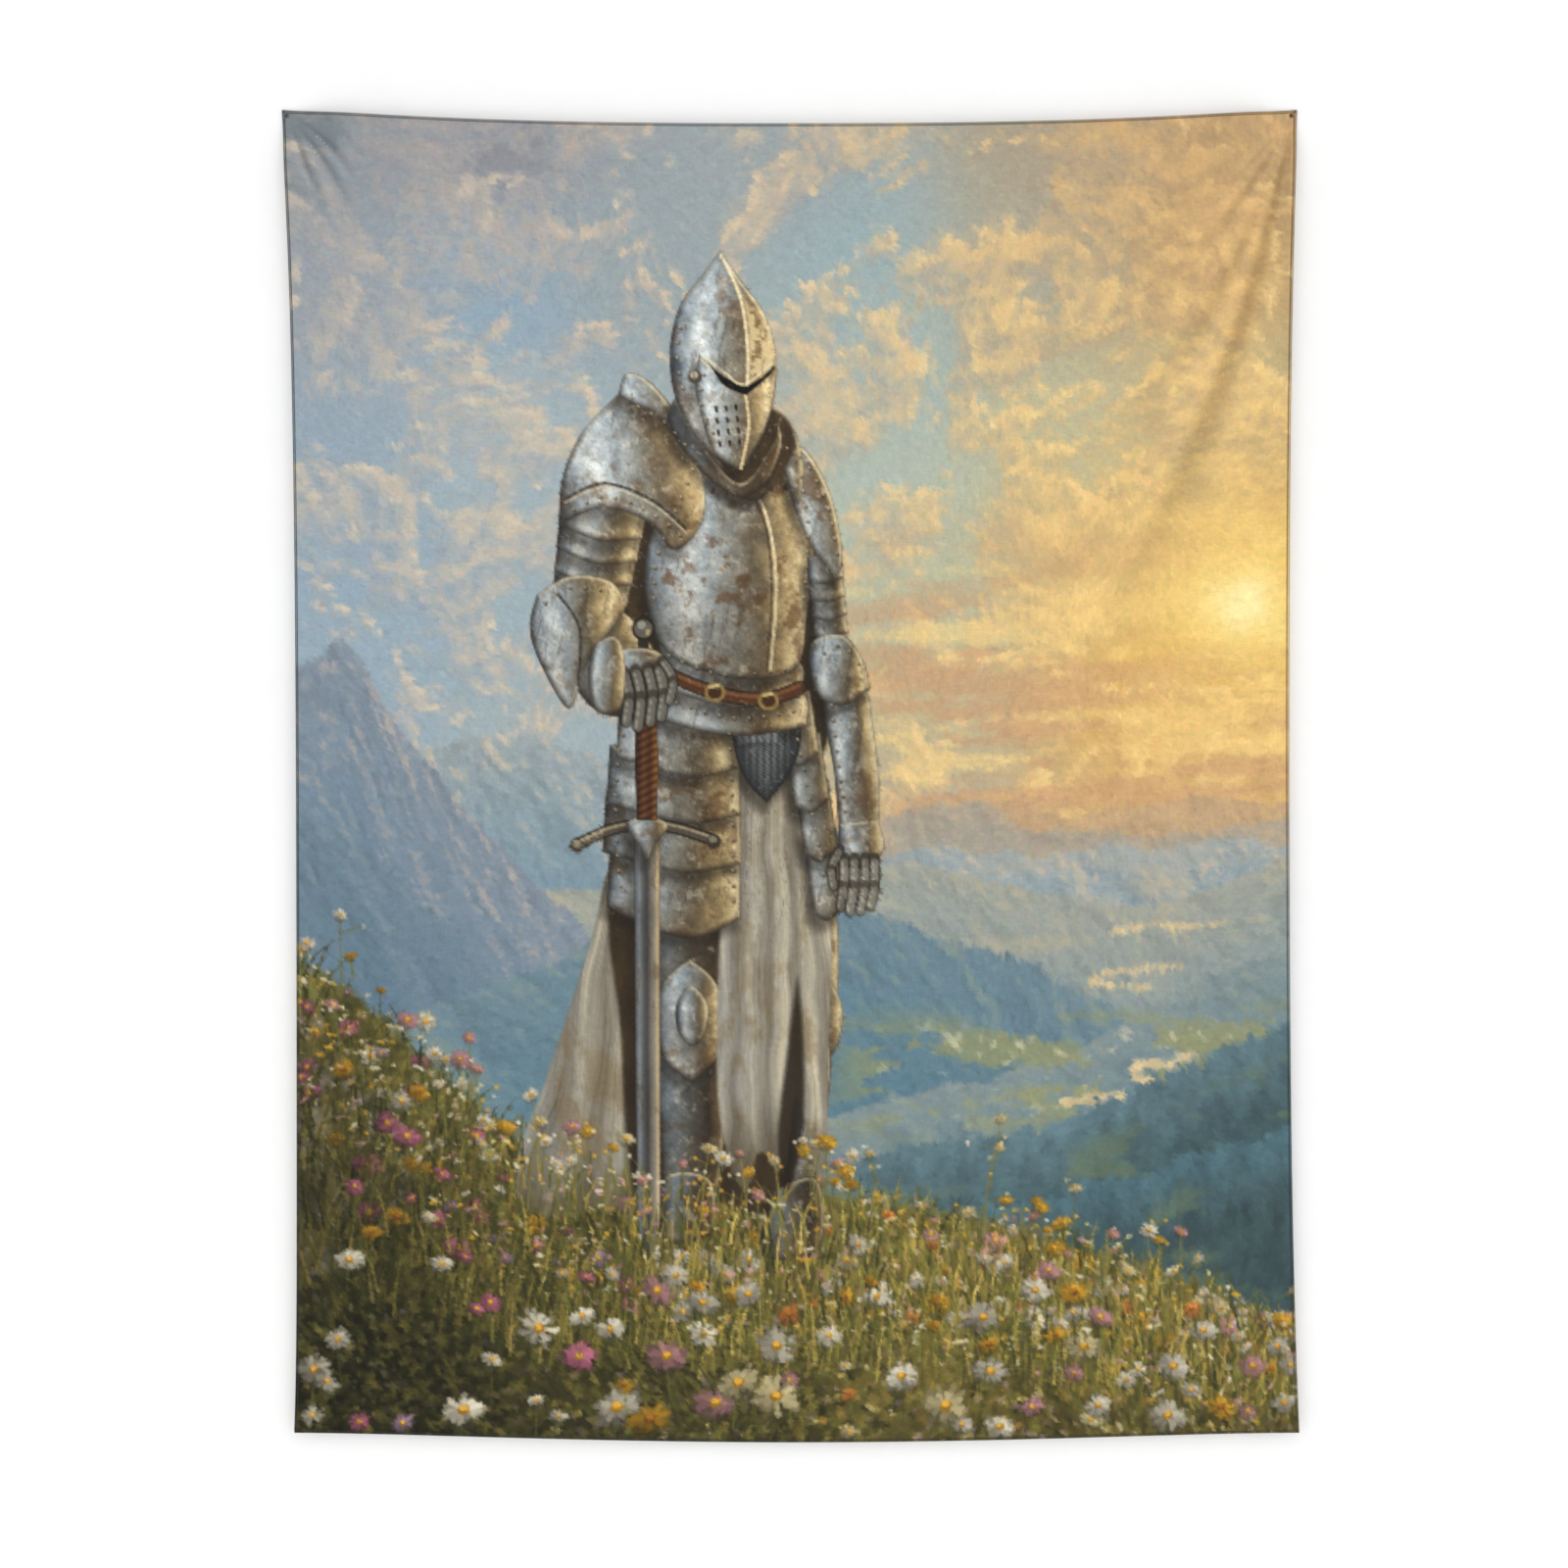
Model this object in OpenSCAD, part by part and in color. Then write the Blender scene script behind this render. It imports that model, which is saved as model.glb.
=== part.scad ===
// Printed cloth wall hanging, pinned to a wall through its two top corners.
// X runs across the wall, Z is up and Y runs into the wall, whose face is Y = 0.
// The origin is on the wall's face, halfway between the two corner pins.

/* [Cloth] */
// Width of the finished cloth, corner to corner along the top
cloth_w = 730; // [400:10:1200]
// Height of the finished cloth, corner to corner down a side
cloth_h = 950; // [500:10:1600]
// Thickness of one layer of cloth
cloth_t = 0.4; // [0.2:0.05:0.8]

/* [Hem] */
// Width of the edge that is turned back behind the cloth
hem_w = 6; // [5:0.5:15]
// How far the overlock thread reaches in from the edge, on each face
thread_w = 1.6; // [1:0.1:2]
// Thickness of the overlock thread where it lies on a face
thread_t = 0.3; // [0.2:0.05:0.5]

/* [Hang] */
// How far the middle of the top edge sags below the two corners
top_sag = 11; // [0:1:30]
// How far the middle of the bottom edge hangs below its corners
bottom_bow = 7; // [0:1:20]
// How far the left edge is drawn in below its corner
left_draw = 12; // [0:1:20]
// How far the right edge is drawn in below its corner
right_draw = 8; // [0:1:20]
// How far the bottom left corner swings back out
left_flare = 2; // [0:0.5:10]
// How far the bottom right corner swings back out
right_flare = 8.5; // [0:0.5:10]

/* [Pins] */
// Distance from a pin's axis to each edge of its corner
pin_inset = 3.6; // [3.4:0.1:5]
// Diameter of the shank
shank_d = 1; // [0.8:0.1:1.2]
// Diameter of the head
head_d = 3; // [2.5:0.1:3]
// Height of the domed head
head_h = 0.9; // [0.6:0.1:1.5]
// Diameter of the shoulder, which the cloth hangs on and which stops at the wall's face
shoulder_d = 1.6; // [1.4:0.1:2]
// Length of shank in the wall, point included
shank_in_wall = 12; // [8:1:20]
// Length of the point
point_l = 2; // [1:0.5:3]

/* [Hidden] */
$fn = 48;

// Straight lengths along each edge
STEPS_ACROSS = 28;
STEPS_DOWN = 32;

// Shape of the edges
SAG_POWER = 2.6;   // over 2: the top edge drops fast from the pins and is flat in the middle
BOW_POWER = 1.7;
TOP_EASE = 0.18;   // part of the height over which the pull of a pin fades
LEFT_EASE = 0.05;  // part of the height over which a bottom corner swings out
RIGHT_EASE = 0.2;

// Depth from the wall to the back of each layer, towards the viewer
hem_back = thread_t;
cloth_back = hem_back + cloth_t;
cloth_front = cloth_back + cloth_t;
thread_front = cloth_front + thread_t;

hole_clearance = 0.1;  // round the shoulder
head_gap = 0.1;        // from the cloth to the head
thread_out = 0.35;     // how far the thread stands out past the cloth's edge
pin_x = cloth_w / 2 - pin_inset;
corner_z = pin_inset + 0.2;  // the corners are this far above the pins' axes

function drawn_in(v, draw, flare, ease) =
    draw * (1 - exp(-v / TOP_EASE)) - flare * exp(-(1 - v) / ease);

// The four edges as tables of [part of the way along, place]
LEFT = [for (i = [0:STEPS_DOWN]) let (v = i / STEPS_DOWN)
    [v, -cloth_w / 2 + drawn_in(v, left_draw, left_flare, LEFT_EASE)]];
RIGHT = [for (i = [0:STEPS_DOWN]) let (v = i / STEPS_DOWN)
    [v, cloth_w / 2 - drawn_in(v, right_draw, right_flare, RIGHT_EASE)]];
TOP = [for (i = [0:STEPS_ACROSS]) let (u = i / STEPS_ACROSS)
    [u, corner_z - top_sag * (1 - pow(abs(2 * u - 1), SAG_POWER))]];
BOTTOM = [for (i = [0:STEPS_ACROSS]) let (u = i / STEPS_ACROSS)
    [u, corner_z - cloth_h - bottom_bow * pow(4 * u * (1 - u), BOW_POWER)]];

// The point that is u of the way across the cloth and v of the way down it
function place(u, v) = [
    lookup(v, LEFT) + u * (lookup(v, RIGHT) - lookup(v, LEFT)),
    lookup(u, TOP) + v * (lookup(u, BOTTOM) - lookup(u, TOP)),
];

// Steps from a to b that keep every corner of the edges between them
function steps(a, b, n) = concat([a], [for (i = [0:n]) if (i / n > a && i / n < b) i / n], [b]);
function backwards(list) = [for (i = [len(list) - 1:-1:0]) list[i]];

// 1 on the far edge of the cloth, -1 on the near edge and 0 between them
function edge_side(t) = t <= 0 ? -1 : t >= 1 ? 1 : 0;
function grown(u, v, out) = place(u, v) + out * [edge_side(u), -edge_side(v)];

// The part of the cloth from u0 to u1 across and v0 to v1 down, standing out past the cloth's edge
module patch(u0, u1, v0, v1, out = 0) {
    across = steps(u0, u1, STEPS_ACROSS);
    down = steps(v0, v1, STEPS_DOWN);
    polygon(concat(
        [for (u = across) grown(u, v0, out)],
        [for (i = [1:len(down) - 2]) grown(u1, down[i], out)],
        [for (u = backwards(across)) grown(u, v1, out)],
        [for (i = [len(down) - 2:-1:1]) grown(u0, down[i], out)]
    ));
}

// Stands a flat shape up as a layer between two depths from the wall
module layer(back, front) {
    rotate([90, 0, 0]) translate([0, 0, back]) linear_extrude(front - back) children();
}

module pin_holes() {
    for (side = [-1, 1])
        translate([side * pin_x, 1, 0]) rotate([90, 0, 0])
            cylinder(d = shoulder_d + 2 * hole_clearance, h = thread_front + 2);
}

module printed_cloth() {
    color("lightsteelblue") difference() {
        layer(cloth_back, cloth_front) patch(0, 1, 0, 1);
        pin_holes();
    }
}

module hem(u0, u1, v0, v1) {
    color("slategray") difference() {
        layer(hem_back, cloth_back) patch(u0, u1, v0, v1);
        pin_holes();
    }
}

module top_hem() hem(0, 1, 0, hem_w / cloth_h);
module bottom_hem() hem(0, 1, 1 - hem_w / cloth_h, 1);
module left_hem() hem(0, hem_w / cloth_w, hem_w / cloth_h, 1 - hem_w / cloth_h);
module right_hem() hem(1 - hem_w / cloth_w, 1, hem_w / cloth_h, 1 - hem_w / cloth_h);

// Overlock thread wrapped round one edge: a band on both faces, and out past the edge
module edge_thread(u0, u1, v0, v1) {
    color("dimgray") difference() {
        layer(0, thread_front) patch(u0, u1, v0, v1, thread_out);
        layer(hem_back, cloth_front) patch(0, 1, 0, 1);
    }
}

module top_edge_thread() edge_thread(0, 1, 0, thread_w / cloth_h);
module bottom_edge_thread() edge_thread(0, 1, 1 - thread_w / cloth_h, 1);
module left_edge_thread()
    edge_thread(0, thread_w / cloth_w, thread_w / cloth_h, 1 - thread_w / cloth_h);
module right_edge_thread()
    edge_thread(1 - thread_w / cloth_w, 1, thread_w / cloth_h, 1 - thread_w / cloth_h);

// Steel pin with its head towards the viewer and its point in the wall
module pin(x) {
    under_head = cloth_front + head_gap;
    dome_r = (pow(head_d / 2, 2) + pow(head_h, 2)) / (2 * head_h);
    dome_half_angle = asin(head_d / 2 / dome_r);
    color("dimgray") translate([x, -under_head, 0]) rotate([90, 0, 0])
        rotate_extrude() polygon(concat(
            [[0, -under_head - shank_in_wall]],
            [[shank_d / 2, -under_head - shank_in_wall + point_l], [shank_d / 2, -under_head]],
            [[shoulder_d / 2, -under_head], [shoulder_d / 2, 0]],
            [for (i = [8:-1:0]) let (a = dome_half_angle * i / 8)
                [dome_r * sin(a), head_h - dome_r * (1 - cos(a))]]
        ));
}

module left_corner_pin() pin(-pin_x);
module right_corner_pin() pin(pin_x);

printed_cloth();
top_hem();
bottom_hem();
left_hem();
right_hem();
top_edge_thread();
bottom_edge_thread();
left_edge_thread();
right_edge_thread();
left_corner_pin();
right_corner_pin();
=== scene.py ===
"""Looks of the printed cloth wall hanging: the cloth with its painted picture, its turned hems, the
overlocked edges, the two steel pins, and a plain wall and floor. Metres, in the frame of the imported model:
X across the wall, Y into it, Z up."""

import bpy
import numpy as np
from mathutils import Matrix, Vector


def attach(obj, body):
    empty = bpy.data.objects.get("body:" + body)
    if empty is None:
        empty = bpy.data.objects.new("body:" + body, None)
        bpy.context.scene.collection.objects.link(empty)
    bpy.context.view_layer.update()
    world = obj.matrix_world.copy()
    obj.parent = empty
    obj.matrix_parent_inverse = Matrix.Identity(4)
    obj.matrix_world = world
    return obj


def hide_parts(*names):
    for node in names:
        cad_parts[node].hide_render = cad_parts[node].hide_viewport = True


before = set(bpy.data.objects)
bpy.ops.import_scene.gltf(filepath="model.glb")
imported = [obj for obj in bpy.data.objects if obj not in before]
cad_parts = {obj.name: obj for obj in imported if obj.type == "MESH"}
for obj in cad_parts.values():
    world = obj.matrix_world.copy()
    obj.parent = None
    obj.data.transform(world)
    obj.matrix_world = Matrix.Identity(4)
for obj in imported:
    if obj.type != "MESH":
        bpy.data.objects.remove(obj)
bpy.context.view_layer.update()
scene = bpy.context.scene
MM = 0.001

# ---- the cloth's measures, as in part.scad ----
CLOTH_W, CLOTH_H, CLOTH_T = 0.730, 0.950, 0.4 * MM
HEM_W = 6 * MM
TOP_SAG, BOTTOM_BOW = 11 * MM, 7 * MM
LEFT_DRAW, RIGHT_DRAW = 12 * MM, 8 * MM
LEFT_FLARE, RIGHT_FLARE = 2 * MM, 8.5 * MM
TOP_EASE, LEFT_EASE, RIGHT_EASE = 0.18, 0.05, 0.2
SAG_POWER, BOW_POWER = 2.6, 1.7
PIN_INSET = 3.6 * MM
PIN_X = CLOTH_W / 2 - PIN_INSET
CORNER_Z = PIN_INSET + 0.2 * MM
THREAD_W = 1.6 * MM

# ---- how the cloth stands off the wall ----
PINNED = 1.1 * MM       # its front face at a pin
HANGING = 9.4 * MM      # its front face away from the pins
PIN_HOLD = 26 * MM      # how far from a pin the wall's hold fades
LAYER_GAP = 0.02 * MM
WAVE, RIPPLE = 2.4 * MM, 0.5 * MM   # heights of its broad and of its fine unevenness
RIDGE = 0.3             # height of a fold's ridge, as part of its valley's depth
TOUCHING = 1.2 * MM     # how softly the bottom of a fold comes to rest against the wall

# Folds that fan out from a pin: side, degrees from straight down, degrees that it turns by its deepest place,
# and in millimetres the distance of that place from the pin, length either way, width and depth
FOLDS = [
    ("right", 12.5, 4.4, 190, 150, 10.5, 8.0),
    ("right", 18.0, 6.5, 130, 85, 9.5, 5.6),
    ("right", 30.0, 4.0, 66, 44, 5.0, 2.8),
    ("right", 42.0, 1.0, 38, 26, 3.2, 1.7),
    ("right", 5.5, 1.0, 60, 40, 3.2, 1.0),
    ("left", 18.0, 1.0, 36, 26, 3.2, 2.8),
    ("left", 41.0, -4.0, 42, 30, 3.6, 2.6),
    ("left", 62.0, -9.0, 36, 26, 3.0, 2.2),
    ("left", 79.0, 2.0, 42, 26, 3.0, 0.8),
]

# ---- the printed picture: 100 units wide, 130 high, painted as display colours ----
# Places and sizes in this part are in those units, down from the top. A figure after a pair of places is most
# often the seed of its noise, so that no two pieces are worn alike.
PICTURE_H = 130.0


class Canvas:
    """A grid of colours with the picture's own coordinates, x across and y down."""

    def __init__(self, across, down):
        self.step = 100.0 / (across - 1)
        self.x, self.y = np.meshgrid(
            np.linspace(0, 100, across, dtype=np.float32),
            np.linspace(0, PICTURE_H, down, dtype=np.float32),
        )
        self.rgb = np.zeros((down, across, 3), np.float32)
        self.figure = np.zeros((down, across), np.float32)  # where the figure has been painted

    def window(self, x0, y0, x1, y1, room):
        """The part of the grid that holds a box, with room round it, as a pair of slices."""
        rows, cols = self.x.shape
        c0 = int(max(0, (x0 - room) / self.step))
        c1 = int(min(cols, (x1 + room) / self.step + 2))
        down = PICTURE_H / (rows - 1)
        r0 = int(max(0, (y0 - room) / down))
        r1 = int(min(rows, (y1 + room) / down + 2))
        return slice(r0, max(r0, r1)), slice(c0, max(c0, c1))

    def blend(self, window, colour, amount):
        """Lays a colour over part of the grid, hiding that amount of what is there."""
        self.rgb[window] += (ink(colour) - self.rgb[window]) * amount[..., None]


def ink(colour):
    """A display colour, from its six-figure code or as it is."""
    if isinstance(colour, str):
        colour = [int(colour[i:i + 2], 16) / 255 for i in (0, 2, 4)]
    return np.asarray(colour, np.float32)


def soft(low, high, t):
    """0 at low and 1 at high, with a smooth step between them."""
    t = np.clip((t - low) / (high - low), 0, 1)
    return t * t * (3 - 2 * t)


def mix(a, b, t):
    """Colour a where t is 0, and b where it is 1."""
    t = np.asarray(t, np.float32)[..., None]
    return ink(a) * (1 - t) + ink(b) * t


def noise(x, y, seed):
    """Smooth noise from 0 to 1, one lump to a unit."""
    table = np.random.default_rng(seed).random((64, 64), dtype=np.float32)
    xi, yi = np.floor(x).astype(int), np.floor(y).astype(int)
    fx, fy = x - xi, y - yi
    fx, fy = fx * fx * (3 - 2 * fx), fy * fy * (3 - 2 * fy)
    a, b = table[yi % 64, xi % 64], table[yi % 64, (xi + 1) % 64]
    c, d = table[(yi + 1) % 64, xi % 64], table[(yi + 1) % 64, (xi + 1) % 64]
    return (a * (1 - fx) + b * fx) * (1 - fy) + (c * (1 - fx) + d * fx) * fy


def lumps(x, y, seed, octaves=5, fade=0.5):
    """Several layers of noise, each twice as fine, from 0 to 1."""
    total, weight, out = 0.0, 1.0, 0.0
    for i in range(octaves):
        out = out + weight * noise(x * 2**i + 17.3 * i, y * 2**i + 5.1 * i, seed + i)
        total += weight
        weight *= fade
    return out / total


def ramp(stops, t):
    """Colour at t on a list of (place, colour) stops."""
    places = [place for place, _ in stops]
    return np.stack([np.interp(t, places, [ink(colour)[k] for _, colour in stops]) for k in range(3)], -1)


def spread(x, y, spots, reach):
    """A smooth field of colour through a few (x, y, colour) spots."""
    total, out = 0.0, 0.0
    for sx, sy, colour in spots:
        w = ((x - sx) ** 2 + (y - sy) ** 2 + reach**2) ** -2.0
        total = total + w
        out = out + w[..., None] * ink(colour)
    return out / total[..., None]


def curve(points, closed=True, steps=6):
    """Smooth line through the points. A point given twice is a corner."""
    p = np.asarray(points, float)
    n = len(p)
    out = []
    for i in range(n if closed else n - 1):
        if closed:
            a, b, c, d = p[i - 1], p[i], p[(i + 1) % n], p[(i + 2) % n]
        else:
            a, b, c, d = p[max(i - 1, 0)], p[i], p[i + 1], p[min(i + 2, n - 1)]
        if np.allclose(b, c):
            out.append(b)
            continue
        for k in range(steps):
            t = k / steps
            out.append(
                0.5 * (2 * b + (c - a) * t + (2 * a - 5 * b + 4 * c - d) * t**2
                       + (3 * b - a - 3 * c + d) * t**3)
            )
    if not closed:
        out.append(p[-1])
    return np.array(out)


def inside(canvas, points, smooth=True):
    """The window round an outline, and how far each place in it is inside, in units."""
    p = curve(points) if smooth else np.asarray(points, float)
    win = canvas.window(*p.min(0), *p.max(0), room=1.5)
    x, y = canvas.x[win], canvas.y[win]
    near = np.full(x.shape, 1e9, np.float32)
    odd = np.zeros(x.shape, bool)
    for (ax, ay), (bx, by) in zip(p, np.roll(p, -1, 0)):
        dx, dy = bx - ax, by - ay
        length = dx * dx + dy * dy
        if length < 1e-12:
            continue
        t = np.clip(((x - ax) * dx + (y - ay) * dy) / length, 0, 1)
        near = np.minimum(near, (x - ax - t * dx) ** 2 + (y - ay - t * dy) ** 2)
        if dy:
            odd ^= ((ay > y) != (by > y)) & (x < dx * (y - ay) / dy + ax)
    return win, np.where(odd, 1, -1) * np.sqrt(near)


def dab(canvas, x0, y0, x1, y1, w0, w1, colour, amount=1.0):
    """One stroke of the brush from one point to another, w0 wide and then w1."""
    r = max(w0, w1) / 2
    win = canvas.window(min(x0, x1) - r, min(y0, y1) - r, max(x0, x1) + r, max(y0, y1) + r, 0.3)
    x, y = canvas.x[win], canvas.y[win]
    if not x.size:
        return
    dx, dy = x1 - x0, y1 - y0
    t = np.clip(((x - x0) * dx + (y - y0) * dy) / max(dx * dx + dy * dy, 1e-9), 0, 1)
    d = np.hypot(x - x0 - t * dx, y - y0 - t * dy)
    half = (w0 + (w1 - w0) * t) / 2
    edge = canvas.step * 0.75
    canvas.blend(win, colour, np.clip((half - d) / edge + 0.5, 0, 1) * amount)


def brushwork(canvas, cell, long, wide, angle, jitter, seed, where):
    """Repaints the canvas as overlapping strokes of one colour each, one to a cell, long and wide in units.
    angle is which way they run, jitter how far their colours stray, and where how much they cover, 0 to 1."""
    rng = np.random.default_rng(seed)
    rows, cols = canvas.x.shape
    gx, gy = canvas.x / cell, canvas.y / cell
    ix, iy = np.floor(gx).astype(int), np.floor(gy).astype(int)
    n = int(140 / cell) + 8
    place = rng.random((n, n, 2), dtype=np.float32)
    order = rng.random((n, n), dtype=np.float32)
    turn = rng.normal(0, 0.25, (n, n)).astype(np.float32)
    tint = rng.normal(0, jitter, (n, n, 1)).astype(np.float32) + rng.normal(
        0, jitter * 0.5, (n, n, 3)
    ).astype(np.float32)
    best = np.full(canvas.x.shape, -1.0, np.float32)
    bj, bi = np.zeros(canvas.x.shape, int), np.zeros(canvas.x.shape, int)
    reach = 1 if long <= 1.4 * cell else 2
    down = PICTURE_H / (rows - 1)
    for oj in range(-reach, reach + 1):
        for oi in range(-reach, reach + 1):
            j, i = np.clip(iy + oj + 3, 0, n - 1), np.clip(ix + oi + 3, 0, n - 1)
            cx = (i - 3 + place[j, i, 0]) * cell
            cy = (j - 3 + place[j, i, 1]) * cell
            r = np.clip((cy / down).astype(int), 0, rows - 1)
            c = np.clip((cx / canvas.step).astype(int), 0, cols - 1)
            a = angle[r, c] + turn[j, i]
            dx, dy = canvas.x - cx, canvas.y - cy
            s = dx * np.cos(a) + dy * np.sin(a)
            t = -dx * np.sin(a) + dy * np.cos(a)
            hit = (s / long * 2) ** 2 + (t / wide * 2) ** 2 < 1
            top = hit & (order[j, i] > best)
            best = np.where(top, order[j, i], best)
            bj, bi = np.where(top, j, bj), np.where(top, i, bi)
    cx = (bi - 3 + place[bj, bi, 0]) * cell
    cy = (bj - 3 + place[bj, bi, 1]) * cell
    r = np.clip((cy / down).astype(int), 0, rows - 1)
    c = np.clip((cx / canvas.step).astype(int), 0, cols - 1)
    colour = canvas.rgb[r, c] * (1 + tint[bj, bi])
    amount = (best >= 0) * np.float32(1) * where
    canvas.rgb += (colour - canvas.rgb) * amount[..., None]


# ---- sky, mountains and valley ----
def paint_sky(c):
    """Evening sky: a smooth ground, warped clouds that are lit from the right, low bands, and the sun."""
    x, y = c.x, c.y
    sky = spread(x, y, [
        (2, 2, "7b8691"), (22, 2, "8b8d98"), (50, 4, "9aa4ae"), (76, 3, "a99f8e"),
        (98, 3, "ab926e"), (4, 19, "98a1af"), (20, 16, "8ea9c3"), (33, 12, "98a6b1"),
        (56, 12, "98b0bd"), (60, 24, "a2b7bd"), (74, 16, "aaa99c"), (92, 14, "bd9d70"),
        (5, 32, "93a7bc"), (20, 30, "a5b6c3"), (60, 36, "aebdb9"), (76, 31, "bdbb9f"),
        (93, 29, "bcb08c"), (5, 44, "92a9c0"), (22, 46, "9db1c0"), (64, 47, "b6bda8"),
        (80, 44, "cdb884"), (97, 44, "dcbd74"), (9, 54, "94abc0"), (26, 60, "9fb0bb"),
        (63, 57, "bfb493"), (86, 57, "d7ad66"), (32, 67, "9cb0be"), (62, 67, "b2aa99"),
        (92, 66, "c9a674"),
    ], 7)
    wx = lumps(x / 15, y / 15, 3, 4) * 13
    wy = lumps(x / 15, y / 15, 7, 4) * 13

    def billow(dx, dy):
        return lumps((x + wx + dx) / 9, ((y + dy) * 1.2 + 0.3 * x + wy) / 9, 11, 7, 0.68)

    puff, ahead = billow(0, 0), billow(0.9, -0.8)
    side = np.clip((puff - ahead) * 9, -1, 1)
    warm = soft(25, 95, x + 0.2 * y)
    bright = mix("ddc8b0", "f0cf8e", warm)
    bright = mix(bright, "aba0a2", 0.85 * soft(34, 0, y) * soft(66, 8, x))
    bright = mix(bright, "c79f74", 0.7 * soft(24, 0, y) * soft(45, 95, x))
    shade = mix("97a2b2", "bd9f7c", warm)
    fuller = 0.05 * np.sin(x / 8 + 0.4 * y / 8 + 0.6) * np.cos(y / 7 + 0.4) + 0.05 * soft(60, 100, x)
    for clear_x, clear_y, wide, deep in ((38, 13, 13, 0.08), (16, 16, 7, 0.05)):
        fuller = fuller - deep * np.exp(-((x - clear_x) ** 2 + (y - clear_y) ** 2) / wide**2)
    body = soft(0.435, 0.54, puff + fuller + 0.05 * (lumps(x / 3, y / 3, 47, 5, 0.7) - 0.5))
    calm = 1 - 0.3 * soft(45, 10, x)
    sky = mix(sky, shade, 0.42 * body)
    sky = mix(sky, bright, calm * body * np.clip(0.36 + 0.46 * side, 0, 0.8))
    rims = body * soft(0.62, 0.52, puff + fuller) * soft(0.2, 0.9, side)
    sky = mix(sky, mix("e8d8c2", "f8e0a6", warm), 0.4 * rims)
    bands = lumps(x / 15 + y / 30, y / 2.3, 41, 5, 0.6)
    low = soft(36, 52, y) * soft(42, 62, x)
    sky = mix(sky, "c39a7a", 0.6 * low * soft(0.51, 0.62, bands))
    sky = mix(sky, "f6d692", 0.55 * low * soft(0.47, 0.37, bands))
    sun = np.hypot(x - 95.5, (y - 48.3) * 1.1) + 5 * (lumps(x / 4, y / 4, 45, 5, 0.6) - 0.5)
    sky = mix(sky, "f0c46e", 0.4 * np.exp(-(sun / 17) ** 2))
    sky = mix(sky, "f9dd84", 0.8 * np.exp(-(sun / 8) ** 2))
    sky = mix(sky, "fdf0b4", 0.95 * np.exp(-(sun / 3.4) ** 2))
    c.rgb[:] = sky


def ridge(x, line, rough, size, seed):
    """Height of a ridge through a few (x, y) points, roughened."""
    xs, ys = zip(*line)
    return np.interp(x, xs, ys) + rough * (lumps(x / size, x * 0 + seed, seed, 5, 0.6) - 0.5)


def paint_range(c, line, rough, size, seed, near, far, glow, depth=14.0, shine=0.5):
    """One range of hills: far colour at its crest, near colour that depth below it, lit faces in glow."""
    x, y = c.x, c.y
    top = ridge(x, line, rough, size, seed)
    below = y - top
    bend = 5 * lumps(x / 9, y / 9, seed + 60, 3)
    across, along = (x * 0.9 - below * 0.7 + bend) / 4.6, (x * 0.4 + below * 0.7 + bend) / 6.5
    crags = lumps(across, along, seed + 30, 6, 0.66)
    face = np.clip((lumps(across + 0.16, along - 0.03, seed + 30, 6, 0.66) - crags) * 8, -1, 1)
    colour = mix(far, near, np.clip(below / depth, 0, 1))
    colour = colour * (1 - 0.08 * np.clip(-face, 0, 1))[..., None]
    lit = soft(0.15, 0.95, face) * soft(depth * 1.3, 0, below)
    colour = mix(colour, glow, shine * lit)
    c.rgb += (colour - c.rgb) * soft(-0.12, 0.12, below)[..., None]


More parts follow.
